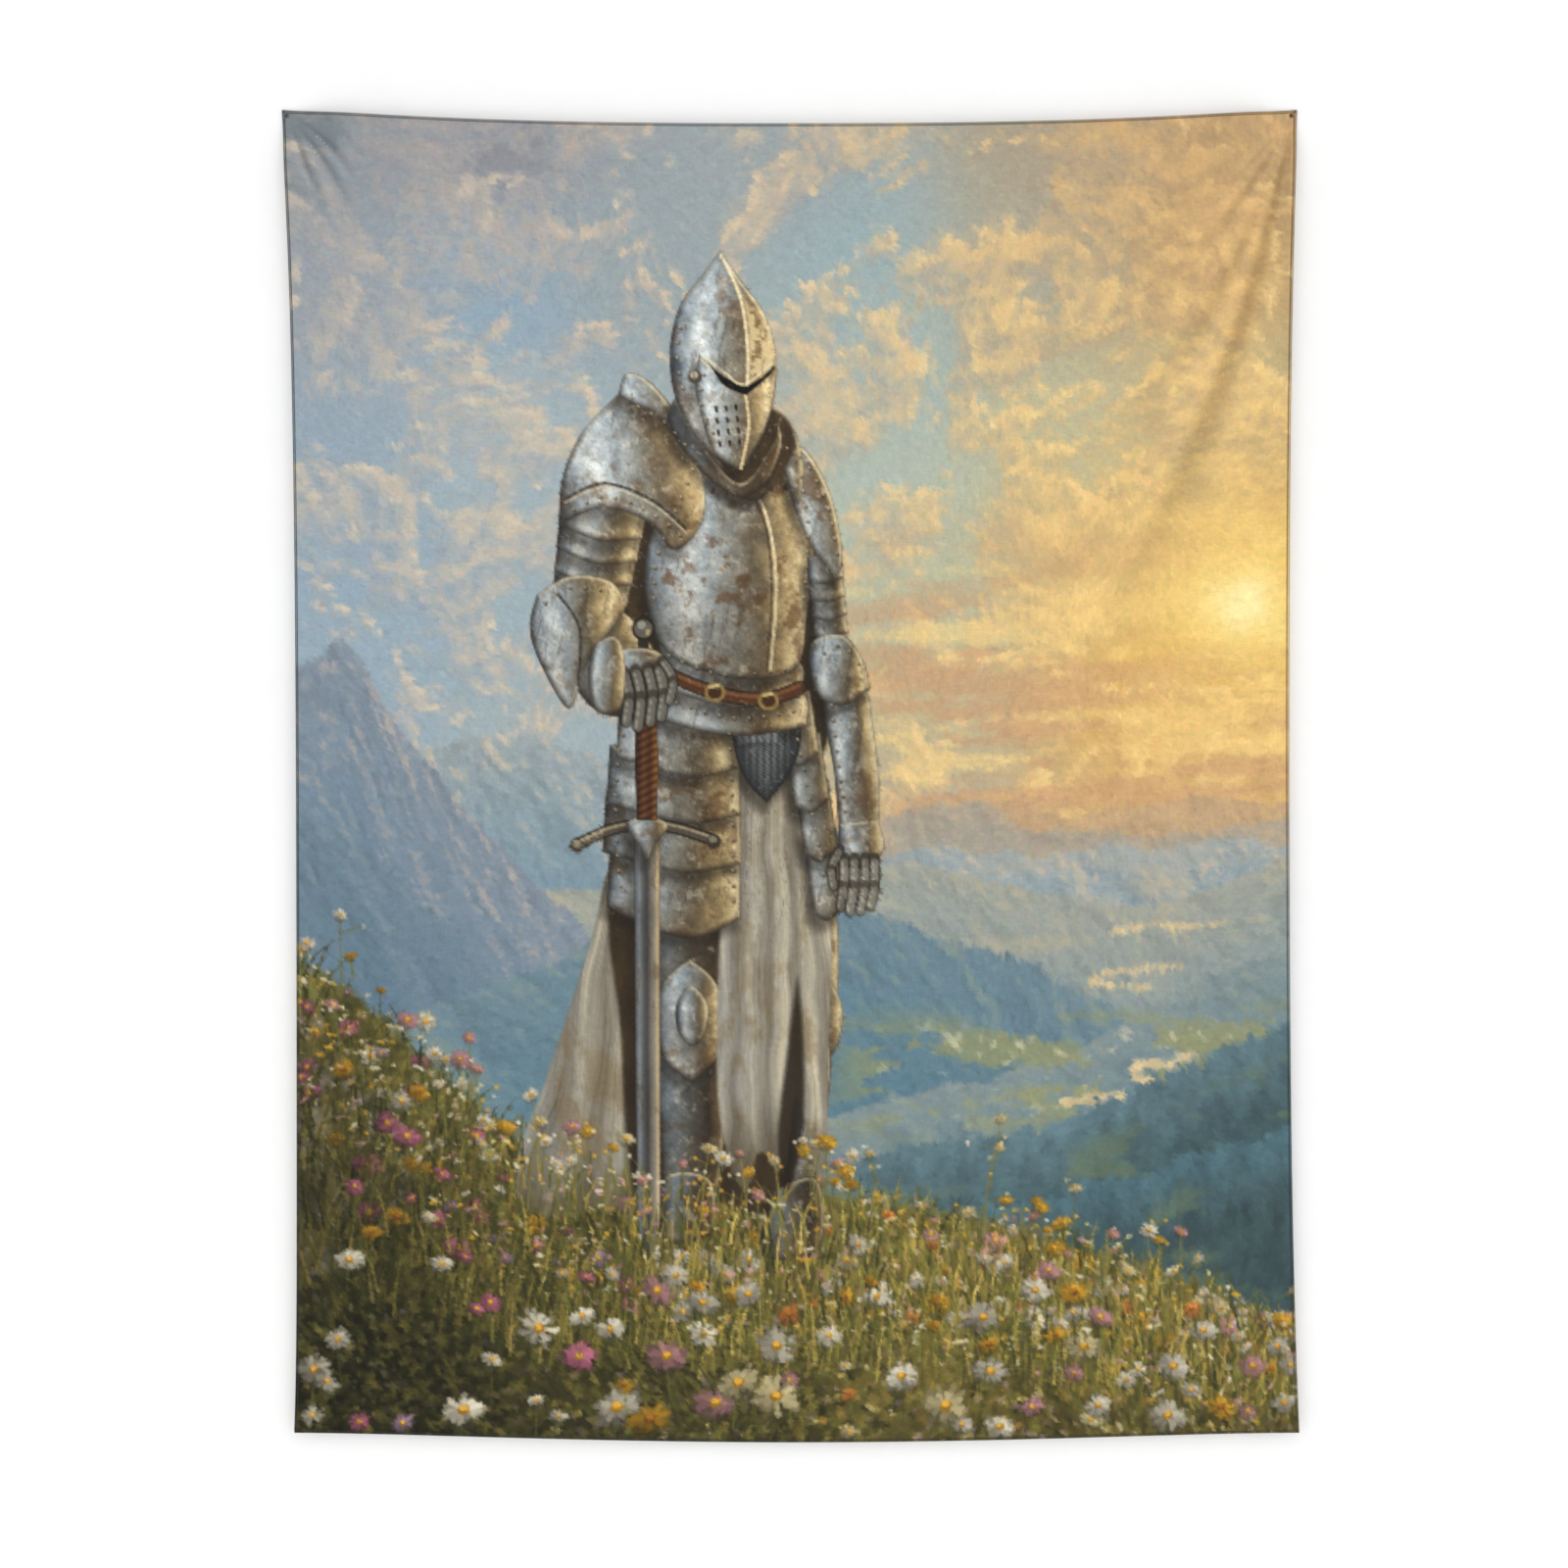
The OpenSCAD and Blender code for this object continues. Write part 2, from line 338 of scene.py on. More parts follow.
def paint_land(c):
    """Ranges of hills from the farthest to the nearest, haze, fields, the river and the woods."""
    x, y = c.x, c.y
    paint_range(c, [(0, 64), (48, 68), (58, 67.2), (66, 66.4), (74, 67.5), (84, 68.4), (92, 67.4), (100, 68)],
                2.6, 6, 21, "b5a18c", "c2a685", "d9b684", shine=0.28)
    paint_range(c, [(0, 70), (52, 70), (58, 68.4), (65, 67.4), (69, 67.6), (74, 70), (82, 71), (90, 71.5),
                    (100, 70)], 2.8, 5, 22, "95a0a4", "a9a196", "d4b48c", shine=0.32)
    paint_range(c, [(0, 66), (13, 62.5), (18, 60.4), (21, 61.6), (24, 60.8), (29, 62.5), (34, 65), (50, 72)],
                3, 5, 23, "7d98ad", "9aa8b2", "d8c2a8", shine=0.55)
    paint_range(c, [(0, 78), (56, 73), (62, 72.6), (68, 74.4), (76, 76.5), (86, 78), (93, 76), (100, 73.5)],
                2, 7, 24, "8297a3", "9fa5a1", "c9b693", shine=0.3)
    paint_range(c, [(0, 54), (2.5, 53.8), (4.6, 52.2), (6.5, 54.4), (9, 58.4), (12, 62.4), (16, 67.5),
                    (22, 73), (30, 81), (40, 90), (60, 100)], 3.2, 4.4, 25, "66849f", "8493a6", "c9b4a6",
                depth=30, shine=0.5)
    paint_range(c, [(0, 69), (6, 72), (13, 78), (20, 84), (30, 91), (50, 100)],
                2.4, 5, 28, "5b7791", "70879b", "94a0a8", depth=22, shine=0.3)
    haze = lumps(x / 18, y / 3, 51, 5, 0.6)
    c.rgb[:] = mix(c.rgb, "c2b49a", 0.55 * soft(0.46, 0.62, haze) * soft(70, 76, y) * soft(86, 79, y)
                   * soft(58, 76, x))
    water(c, [(93.5, 79.6), (89, 79.9), (85.5, 79.6), (82, 80.3)], 0.9)
    water(c, [(89, 83.6), (85, 83.9), (81, 84.3), (80.4, 85.2), (86, 85.8)], 1.0)
    paint_range(c, [(0, 92), (44, 76), (54, 76.4), (62, 79), (70, 81.6), (78, 85.6), (86, 89), (93, 92),
                    (100, 95)], 2.2, 5, 26, "5d7f95", "6f8a9c", "979f8e", depth=16, shine=0.4)
    paint_range(c, [(0, 110), (78, 92), (84, 88.5), (90, 85.6), (95, 84), (100, 82.6)],
                1.6, 5, 27, "668394", "82949c", "9ca18a", depth=12, shine=0.3)
    fields = soft(0.5, 0.58, lumps(x / 7, y / 1.8, 61, 5, 0.6))
    fields = fields * soft(86, 91, y) * soft(102, 96, y) * soft(50, 60, x)
    c.rgb[:] = mix(c.rgb, "9a9a68", 0.65 * fields)
    farms = soft(0.7, 0.76, lumps(x / 1.3, y / 0.9, 63, 3))
    farms = farms * soft(87, 91, y) * soft(101, 96, y) * soft(54, 64, x)
    c.rgb[:] = mix(c.rgb, "d9d2b8", 0.55 * farms)
    water(c, [(90, 92.4), (87.6, 93.4), (85, 93.2), (84.6, 94.6), (87, 95.6), (82, 96.4), (77, 96.8)], 1.5)
    for line, seed, near, far in (
        ([(54, 103), (64, 102), (74, 100.5), (82, 97.6), (90, 94.5), (100, 91)], 71, "465f68", "607c8b"),
        ([(50, 110), (62, 108.5), (76, 107), (88, 104), (100, 101)], 72, "3e535a", "507080"),
    ):
        woods = lumps(x / 1.2, y / 2.4, seed, 5, 0.75)
        spikes = 2.2 * lumps(x / 0.6, x * 0, seed + 5, 3, 0.8)
        top = ridge(x, line, 1.5, 6, seed + 1) - spikes
        colour = mix(far, near, np.clip((y - top) / 8, 0, 1)) * (0.74 + 0.5 * woods)[..., None]
        clearing = soft(0.55, 0.66, lumps(x / 8, y / 2.5, seed + 9, 4)) * soft(2, 5, y - top)
        colour = mix(colour, "6f7f60", 0.5 * clearing)
        c.rgb += (colour - c.rgb) * (soft(-0.1, 0.1, y - top) * soft(50, 58, x))[..., None]


def water(c, path, wide):
    """A stretch of river that shines with the low sun, with ragged banks."""
    p = curve(path, closed=False, steps=10)
    for k in range(len(p) - 1):
        swell = wide * (0.35 + 0.4 * np.sin(k * 0.7 + path[0][0]) ** 2)
        tone = mix("e8d3a6", "bfae8e", 0.5 + 0.5 * np.sin(k * 1.9))
        dab(c, *p[k], *p[k + 1], swell, swell, tone, 0.6)


# the meadow's edge, from left to right
MEADOW = [(0, 83.5), (5, 86), (10, 90), (16, 95.5), (22, 100.5), (30, 104), (42, 105.5), (55, 105.5),
          (64, 107), (76, 110), (88, 114.5), (100, 119.5)]


def meadow_top(x):
    """Height of the meadow's edge."""
    xs, ys = zip(*MEADOW)
    return np.interp(x, xs, ys)


def stipple(c, cell, size, colours, seed, where):
    """Covers part of the canvas with touches of the brush, one to a cell, each in one of the colours."""
    rng = np.random.default_rng(seed)
    n = int(140 / cell) + 8
    spot = rng.random((n, n, 2), dtype=np.float32)
    pick = rng.integers(len(colours), size=(n, n))
    tone = rng.uniform(0.7, 1.25, (n, n)).astype(np.float32)
    lean = rng.normal(0, 0.5, (n, n)).astype(np.float32)
    palette = np.array([ink(colour) for colour in colours])
    ix, iy = np.floor(c.x / cell).astype(int), np.floor(c.y / cell).astype(int)
    for oj in (-1, 0, 1):
        for oi in (-1, 0, 1):
            j, i = iy + oj + 2, ix + oi + 2
            dx = c.x - (i - 2 + spot[j, i, 0]) * cell
            dy = c.y - (j - 2 + spot[j, i, 1]) * cell
            dx = dx + lean[j, i] * dy
            hit = np.clip(1.6 - (np.hypot(dx, dy * 0.45) / size * 2) ** 2, 0, 1) * where * 0.8
            c.rgb += (palette[pick[j, i]] * tone[j, i, None] - c.rgb) * hit[..., None]


def paint_meadow(c):
    """The ground of the meadow: earth, a few rocks at the left, and touches of grass."""
    x, y = c.x, c.y
    top = meadow_top(x) + 2.4 * (lumps(x / 1.5, y * 0.1, 81, 4, 0.7) - 0.5)
    ground = spread(x, y, [
        (0, 86, "6a6c44"), (9, 92, "6f6a3a"), (20, 103, "4f4c2c"), (0, 110, "35351f"),
        (30, 110, "4a4527"), (50, 108, "6b6236"), (62, 111, "857840"), (80, 115, "7f7340"),
        (97, 124, "6a5f37"), (8, 128, "252617"), (40, 128, "37351f"), (75, 128, "5b522d"),
    ], 6)
    patches = lumps(x / 6, y / 6, 95, 4)
    tufts = lumps(x / 0.9, y / 3.2, 91, 5, 0.75)
    ground = ground * (0.5 + 0.7 * tufts)[..., None] * (0.75 + 0.5 * patches)[..., None]
    within = soft(-0.5, 0.8, y - top)
    c.rgb += (ground - c.rgb) * within[..., None]
    for points, light in (
        ([(-2, 88), (1.5, 88.6), (3.2, 91), (3.6, 95), (-2, 98)], 0.7),
        ([(-2, 93), (3, 92.4), (6.4, 94.6), (8.4, 98), (8, 102), (3, 103.4), (-2, 103)], 1.0),
        ([(6, 102), (9.6, 101.4), (12, 104), (12.4, 108), (9, 110), (6.4, 107)], 0.9),
        ([(-2, 104), (3, 103.5), (5.4, 107), (4.4, 113), (-2, 115)], 0.75),
    ):
        win, d = inside(c, points)
        wx, wy = c.x[win], c.y[win]
        face = lumps(wx / 2.2 + wy / 5, wy / 1.7, 101, 5, 0.68)
        stone = mix("3f3d38", "9c958e", soft(0.38, 0.68, face) * light)
        stone = mix(stone, "55552f", 0.6 * soft(0.5, 0.62, lumps(wx / 2, wy / 2, 103, 5, 0.6)))
        c.blend(win, stone, soft(-0.3, 0.5, d + 1.2 * (face - 0.5)) * 0.95)
    left = soft(48, 12, x)
    deep = soft(0, 14, y - top)
    stipple(c, 0.9, 0.55, ["4c4d26", "6b6832", "2f3119", "7d7538", "3b3a20"], 111,
            within * (0.55 + 0.3 * deep))
    stipple(c, 0.8, 0.34, ["a7974b", "8b8440", "c2ac58", "6f7138", "97824a"], 112,
            within * (0.8 - 0.55 * left) * (0.9 - 0.5 * deep))
    stipple(c, 1.3, 0.3, ["d9c474", "b9a0a0", "d8cba6", "b88a3a", "9b7f92"], 113,
            within * (0.8 - 0.4 * left))


def blades(c, count, seed, band, long, dark):
    """Grass: many thin strokes that start in a band of the meadow and lean a little, darker at the left."""
    wide, amount = 0.22, 0.8
    rng = np.random.default_rng(seed)
    for _ in range(count):
        x = rng.uniform(-2, 102)
        edge = meadow_top(x)
        y = edge + band[0] + (band[1] - band[0]) * rng.random() ** 0.8 * (PICTURE_H - edge + 4)
        size = long * rng.uniform(0.4, 1.3) * (0.6 + 0.5 * (y - edge) / 25)
        lean = rng.normal(0.06, 0.3)
        tone = GRASS[rng.integers(len(GRASS))] * rng.uniform(0.65, 1.25)
        tone = tone * (1 - dark * max(0.0, 1 - x / 40) * 0.8)
        mid = (x + lean * size * 0.35, y - size * 0.55)
        end = (x + lean * size, y - size)
        dab(c, x, y, *mid, wide * 1.3, wide, tone, amount)
        dab(c, *mid, *end, wide, wide * 0.4, tone * 1.12, amount)


def flower(c, x, y, r, petal, heart, rng):
    """A daisy seen from above or aside: two rings of uneven petals, darker behind, round a raised heart."""
    squash = rng.uniform(0.5, 0.9)
    tilt = rng.normal(0, 0.35)
    count = int(rng.integers(11, 17))
    first = rng.uniform(0, 6.28)
    dab(c, x - 0.2 * r, y + 0.35 * r, x + 0.2 * r, y + 0.35 * r, r * 1.3, r * 1.1, petal * 0.3, 0.35)
    for ring, tone_of_ring in ((1.0, 0.74), (0.86, 1.0)):
        for k in rng.permutation(count):
            a = first + k * 6.283 / count + rng.normal(0, 0.14) + (1 - ring) * 2
            reach = r * ring * rng.uniform(0.72, 1.12)
            dx, dy = np.cos(a), np.sin(a) * squash
            dx, dy = dx * np.cos(tilt) - dy * np.sin(tilt), dx * np.sin(tilt) + dy * np.cos(tilt)
            tone = petal * tone_of_ring * (0.86 + 0.14 * np.cos(a - 5.4)) * rng.uniform(0.84, 1.06)
            dab(c, x + 0.15 * r * dx, y + 0.15 * r * dy, x + reach * dx, y + reach * dy,
                r * 0.16, r * rng.uniform(0.2, 0.32), tone, 0.9)
    dab(c, x - 0.06 * r, y + 0.04 * r, x + 0.08 * r, y, r * 0.42, r * 0.42, heart * 0.66, 1)
    dab(c, x - 0.03 * r, y - 0.07 * r, x + 0.08 * r, y - 0.07 * r, r * 0.28, r * 0.24, heart * 1.05, 1)


GRASS = [ink("857c3c"), ink("5f6130"), ink("a89550"), ink("3f4224"), ink("726933")]
WHITE, CREAM = ink("e9e4d2"), ink("e0d3a4")
PINK, ROSE, LILAC = ink("cf9aa0"), ink("c3738f"), ink("ad93ae")
YELLOW, ORANGE = ink("ddab38"), ink("dc8f4a")
HEART, DARK_HEART = ink("d6a23c"), ink("9c6428")


def paint_flowers(c, front):
    """front is False for the small far flowers behind the figure's feet, True for the near ones."""
    rng = np.random.default_rng(205 if front else 204)
    placed = []
    for _ in range(150 if front else 230):
        x = rng.uniform(0, 100)
        edge = meadow_top(x)
        depth = rng.uniform(0.05, 1.0) ** 0.9 if front else rng.uniform(-0.1, 0.5)
        y = edge + depth * (129 - edge)
        if front and (y < 113 and x > 22 and x < 56):
            continue
        r = (0.85 + (0.95 if front else 0.6) * max(depth, 0)) * rng.uniform(0.45, 1.4)
        if any(abs(x - px) + abs(y - py) < (r + pr) * 0.8 for px, py, pr in placed):
            continue
        placed.append((x, y, r))
        pick = rng.random()
        if x < 34:
            petal = WHITE if pick < 0.33 else ROSE if pick < 0.62 else LILAC if pick < 0.8 else YELLOW
        else:
            petal = (WHITE if pick < 0.46 else CREAM if pick < 0.6 else YELLOW if pick < 0.8
                     else PINK if pick < 0.92 else ORANGE)
        tone = petal * (0.9 + 0.1 * min(1.0, x / 55)) * rng.uniform(0.78, 1.06)
        heart = DARK_HEART if petal is YELLOW or petal is ORANGE else HEART
        stem = ink("565a2d") * rng.uniform(0.7, 1.2)
        lean = rng.normal(0, 0.25)
        dab(c, x, y, x + lean * 2, y + 1.8 + 3.6 * max(depth, 0.15), 0.16, 0.22, stem, 0.8)
        flower(c, x, y, r, tone, heart, rng)


def paint_tall_stems(c, count, seed):
    """Loose stems that stand clear of the meadow, with buds and small heads."""
    rng = np.random.default_rng(seed)
    for _ in range(count):
        x = rng.uniform(0, 100)
        foot = meadow_top(x) + rng.uniform(1, 7)
        tall = rng.uniform(4, 11) * (1.25 if 55 < x < 70 else 0.8)
        lean = rng.normal(0, 0.12)
        tip = (x + lean * tall, foot - tall)
        bend = (x + lean * tall * 0.3, foot - tall * 0.5)
        stem = mix("5b5f34", "8c8348", rng.random())
        dab(c, x, foot, *bend, 0.2, 0.17, stem, 0.8)
        dab(c, *bend, *tip, 0.17, 0.12, stem, 0.8)
        for _ in range(int(rng.integers(1, 5))):
            t = rng.uniform(0.35, 0.95)
            sx, sy = x + lean * tall * t, foot - tall * t
            ex, ey = sx + rng.normal(0, 1.1), sy - rng.uniform(0.4, 1.6)
            dab(c, sx, sy, ex, ey, 0.12, 0.1, stem, 0.7)
            dab(c, ex, ey, ex + 0.05, ey, 0.4, 0.34, [WHITE, YELLOW, CREAM][rng.integers(3)] * 0.95, 0.85)
        flower(c, *tip, rng.uniform(0.5, 1.15), [WHITE, WHITE, YELLOW, CREAM, PINK][rng.integers(5)] * 0.95,
               HEART, rng)


def sprinkle(c, count, seed, colours, y0, y1, size):
    """Tiny specks of far blossom and light along the meadow."""
    rng = np.random.default_rng(seed)
    for _ in range(count):
        x = rng.uniform(0, 100)
        y = meadow_top(x) + rng.uniform(y0, y1)
        r = size * rng.uniform(0.5, 1.4)
        dab(c, x, y, x + rng.normal(0, r), y + rng.normal(0, r * 0.5), r, r * 0.7,
            colours[rng.integers(len(colours))] * rng.uniform(0.75, 1.05), 0.75)


# ---- the armoured figure: the builder's own, in a closed helm ----
# colours of the armour, and (place, colour) stops across a lit plate, a shaded one, linen and leather
DARK, RUST, EARTH = ink("241f1a"), ink("5a3c22"), ink("6b5537")
LIP = ink("e9dcbc")
STEEL = [(-1.05, "4b5561"), (-0.82, "8592a0"), (-0.45, "dde6ec"), (-0.22, "aab6c0"),
         (0.08, "8a8b86"), (0.36, "6e6351"), (0.6, "b39d72"), (0.85, "fae7b8"),
         (1.05, "ad9066")]
SHADED = [(-1.0, "33363a"), (-0.5, "7d8891"), (0.0, "57544e"), (0.5, "3d342a"),
          (1.0, "8a7350")]
LINEN = [(0.0, "6b6353"), (0.3, "979083"), (0.6, "b5b0a4"), (0.85, "cfcaba"),
         (1.0, "e6dcc0")]
LEATHER = [(-1.0, "3a2419"), (-0.3, "7a4e33"), (0.3, "5c3823"), (1.0, "a9743f")]


def shadow(c, points, dx=-0.5, dy=0.9, amount=0.55, smooth=True):
    """A soft dark shade under a plate, on what lies behind it."""
    p = [(x + dx, y + dy) for x, y in points]
    win, d = inside(c, p, smooth)
    c.blend(win, DARK, amount * soft(-0.9, 0.5, d) * c.figure[win])


def cover(c, win, colour, amount):
    """Paints part of the figure, and notes where."""
    c.blend(win, colour, amount)
    c.figure[win] = np.maximum(c.figure[win], amount)


def recess(c, points, seed):
    """A place in deep shade, with a little brown in it."""
    win, d = inside(c, points)
    tone = mix("2c261e", "5d4a31", lumps(c.x[win] / 1.4, c.y[win] / 4, seed, 5, 0.65))
    cover(c, win, tone, soft(-0.3, 0.3, d))


def plate(c, points, mid, half, lean=0.0, stops=STEEL, low=0.3, rust=0.5, seed=1, cast=0.5,
          bulge=0.0):
    """One piece of armour: bright to dark across its width, worn, with a dark rim and a lit lip. mid and half
    are the middle and half the width of the shading, lean its slant, low the earth at the foot, rust how much
    of it there is, cast the shade that it casts, and bulge how much rounder its ends are."""
    shadow(c, points, amount=cast)
    win, d = inside(c, points)
    x, y = c.x[win], c.y[win]
    ys = [p[1] for p in points]
    s = (y - min(ys)) / (max(ys) - min(ys))
    t = (x - mid - lean * (y - 0.5 * (min(ys) + max(ys)))) / half
    t = t * (1 + bulge * (s - 0.5) ** 2 * 4) + 0.34 * (lumps(x / 2.4, y / 2.4, seed, 4) - 0.5)
    colour = ramp(stops, t)
    colour = mix(colour, "9fb4ca", 0.4 * soft(0.5, 0.0, s) * soft(0.45, -0.3, t))
    colour = mix(colour, EARTH, 0.65 * low * soft(0.45, 1.0, s))
    colour = colour * (0.74 + 0.52 * lumps(x / 0.9, y / 0.9, seed + 1, 4, 0.65))[..., None]
    worn = lumps(x / 3.5, y / 3.5, seed + 3, 3)
    grime = lumps(x / 1.8, y / 1.8, seed + 2, 5, 0.68) + 0.4 * (worn - 0.5)
    colour = mix(colour, RUST, 0.8 * rust * soft(0.54, 0.72, grime))
    glint = soft(0.62, 0.78, lumps(x / 1.1, y / 1.1, seed + 4, 4, 0.65))
    colour = mix(colour, "efe9d8", 0.45 * glint * soft(0.9, 0.3, np.abs(t)))
    down, across = np.gradient(d)
    faces_light = soft(-0.35, 0.8, (0.8 * down - 0.5 * across) / c.step)
    colour = mix(colour, DARK, 0.62 * soft(0.7, 0.0, d) * (1 - faces_light))
    edge = soft(0.0, 0.12, d) * soft(0.5, 0.22, d)
    colour = mix(colour, LIP, 0.8 * edge * faces_light * (0.35 + 0.9 * worn))
    colour = mix(colour, DARK, 0.35 * soft(0.16, 0.0, d))
    grit = lumps(x / 0.3, y / 0.3, seed + 6, 2, 0.8)
    colour = colour * (0.88 + 0.24 * grit)[..., None]
    cover(c, win, colour, soft(-0.1, 0.1, d))


LAP = 0.3       # how far a lame reaches over the one below it, as part of its own length


def lames(c, top, bottom, wide_top, wide_bottom, count, seed, sag=0.5, **more):
    """A row of narrow plates down a limb, each lapping over the next."""
    (x0, y0), (x1, y1) = top, bottom
    long = np.hypot(x1 - x0, y1 - y0)
    ux, uy = (x1 - x0) / long, (y1 - y0) / long
    px, py = uy, -ux
    for i in reversed(range(count)):
        a, b = i / count, min((i + 1 + LAP) / count, 1.12)
        half_a = (wide_top + (wide_bottom - wide_top) * a) / 2
        half_b = (wide_top + (wide_bottom - wide_top) * b + 0.35) / 2
        ax, ay = x0 + (x1 - x0) * a, y0 + (y1 - y0) * a
        bx, by = x0 + (x1 - x0) * b, y0 + (y1 - y0) * b
        band = ([(ax - px * half_a, ay - py * half_a)] * 2
                + [(ax - ux * sag * 0.4, ay - uy * sag * 0.4)]
                + [(ax + px * half_a, ay + py * half_a)] * 2
                + [(bx + px * half_b, by + py * half_b)] * 2
                + [(bx + ux * sag, by + uy * sag)]
                + [(bx - px * half_b, by - py * half_b)] * 2)
        plate(c, band, (ax + bx) / 2, half_b, ux / max(uy, 0.3), seed=seed + i, **more)


def drapery(c, points, folds, seed, centre, spread_out, tone, top=0.0):
    """Hanging linen: folds that fan out from a centre, a warm edge, stains and a ragged foot."""
    win, d = inside(c, points)
    x, y = c.x[win], c.y[win]
    ys, xs = [p[1] for p in points], [p[0] for p in points]
    s = (y - min(ys)) / (max(ys) - min(ys))
    wave = 2.6 * (lumps(x / 5, y / 12, seed, 3) - 0.5)
    a = (x - centre) / (1 + spread_out * s) + wave
    value = 0.5 + 0.5 * np.sin(a * folds * 0.8) * (0.5 + lumps(x / 4, y / 9, seed + 1, 2))
    value = 0.6 * value + 0.4 * lumps(a * folds * 0.55, y / 18, seed + 3, 4, 0.6)
    value = value + 0.3 * (lumps(x / 0.6, y / 5, seed + 2, 3) - 0.5) + 0.1
    side = (x - min(xs)) / (max(xs) - min(xs))
    colour = ramp(LINEN, np.clip(value * 0.9 + 0.12 * side, 0, 1)) * tone
    colour = mix(colour, "8c97a6", 0.25 * soft(0.6, 0.1, side))
    stain = lumps(x / 3, y / 5, seed + 5, 5, 0.65)
    colour = mix(colour, "85704c", (0.12 + 0.5 * s) * soft(0.5, 0.7, stain))
    colour = mix(colour, "5d5035", 0.5 * soft(0.8, 1.0, s))
    colour = colour * (1 - 0.45 * soft(top, 0.0, s))[..., None] if top else colour
    ragged = d + 1.6 * (lumps(x / 0.8, y / 2.2, seed + 8, 4, 0.7) - 0.62) * soft(0.8, 1.0, s)
    colour = mix(colour, "6f6757", 0.3 * soft(0.35, 0.0, ragged))
    strands = lumps(a * 5, y / 14, seed + 11, 4, 0.7)
    colour = colour * (0.8 + 0.4 * strands)[..., None]
    cover(c, win, colour, soft(-0.1, 0.3, ragged) * (1 - 0.35 * soft(0.72, 1.0, s)))


def line(c, points, wide, colour, amount=0.9):
    """A smooth line through the points."""
    p = curve(points, closed=False)
    for a, b in zip(p[:-1], p[1:]):
        dab(c, *a, *b, wide, wide, colour, amount)


def strap(c, points, wide):
    """A leather belt with a dark lower edge and a lit upper one."""
    line(c, points, wide * 1.25, DARK, 0.8)
    line(c, points, wide, "5f3c27")
    line(c, [(x, y - wide * 0.22) for x, y in points], wide * 0.3, "93643f", 0.7)


def finger(c, points, wide):
    """One finger of a gauntlet: small plates along a line, with a lit ridge."""
    p = curve(points, closed=False, steps=4)
    for a, b in zip(p[:-1], p[1:]):
        dab(c, *a, *b, wide * 1.1, wide * 1.05, DARK, 0.6)
    for k, (a, b) in enumerate(zip(p[:-1], p[1:])):
        dab(c, *a, *b, wide * 0.8, wide * 0.72, "7b7a74" if k % 4 else "4a453d", 0.9)
        if k % 4:
            dab(c, a[0] - wide * 0.16, a[1], b[0] - wide * 0.16, b[1], wide * 0.26, wide * 0.2, "bdb9aa", 0.7)


def paint_legs(c):
    """The linen skirts and, between them, the plates of both legs."""
    drapery(c, [(32, 73), (29.8, 80), (27.2, 88), (24.4, 96), (21.6, 104), (24, 108), (30, 107.5),
                (36, 107), (38.5, 92), (38, 76)], 3.1, 500, 40, 1.1, 0.93)
    recess(c, [(33, 74), (52.6, 73), (53.4, 90), (51.6, 106), (47.4, 107.6), (40, 106), (34.4, 107),
               (32.6, 90)], 511)
    plate(c, [(36, 72), (44, 72), (44.2, 80), (42.6, 86), (36.6, 86), (35.8, 80)], 40, 4.6, stops=SHADED,
          seed=520, low=0.5)
    plate(c, [(36.6, 92), (42.6, 92), (43, 99), (41.6, 107), (37.4, 107.5), (36.4, 99)], 39.6, 3.4,
          stops=SHADED, seed=523, low=0.75)
    plate(c, [(39.6, 82.4), (39.6, 82.4), (42, 84.4), (43.2, 88), (42.4, 92), (39.8, 94.6), (39.8, 94.6),
              (37, 92.4), (36.2, 88), (37, 84.6)], 39.7, 3.6, seed=526, low=0.4)
    plate(c, [(39.8, 85), (41.4, 87), (41, 89.8), (39.8, 91), (38.4, 89.6), (38.2, 87)], 39.8, 1.8,
          seed=528, rust=0.2, cast=0.2, low=0.1)
    plate(c, [(50.4, 76), (53.8, 75), (54.6, 82), (54, 87), (51, 87.5)], 52.4, 2.3, seed=530, low=0.3)
    plate(c, [(51.4, 84.8), (53.8, 84.6), (55, 88), (54, 91.6), (51.8, 92.4)], 53, 2.0, seed=533, low=0.3)
    plate(c, [(50.6, 91.4), (53.6, 91), (53.2, 98), (51.6, 105), (49.4, 105.5)], 51.6, 2.2, seed=536,
          stops=SHADED, low=0.6)
    plate(c, [(48.4, 105), (52.2, 104), (53, 108.6), (51.6, 111.6), (47.8, 112), (46.4, 110.5),
              (47.4, 107)], 50, 3, seed=539, stops=SHADED, low=0.8)
    plate(c, [(37, 104), (41.4, 104), (42, 108), (40.6, 110), (36.6, 110)], 39.4, 3, seed=541, stops=SHADED,
          low=0.85)
    drapery(c, [(43.2, 62), (51, 62), (53, 70), (54, 80), (53.6, 92), (53.2, 104.5), (51.6, 102),
                (50.3, 96), (49.2, 104), (46.8, 101.6), (45.4, 105.4), (43.4, 103), (42.2, 96), (42.4, 82),
                (43, 72)], 3.6, 560, 47.5, 0.5, 1.02, top=0.12)
    win, d = inside(c, [(50.4, 84), (51.2, 92), (50.8, 101), (49, 106), (48.2, 100), (49.2, 92)])
    c.blend(win, "2a2219", 0.85 * soft(-0.2, 0.5, d))


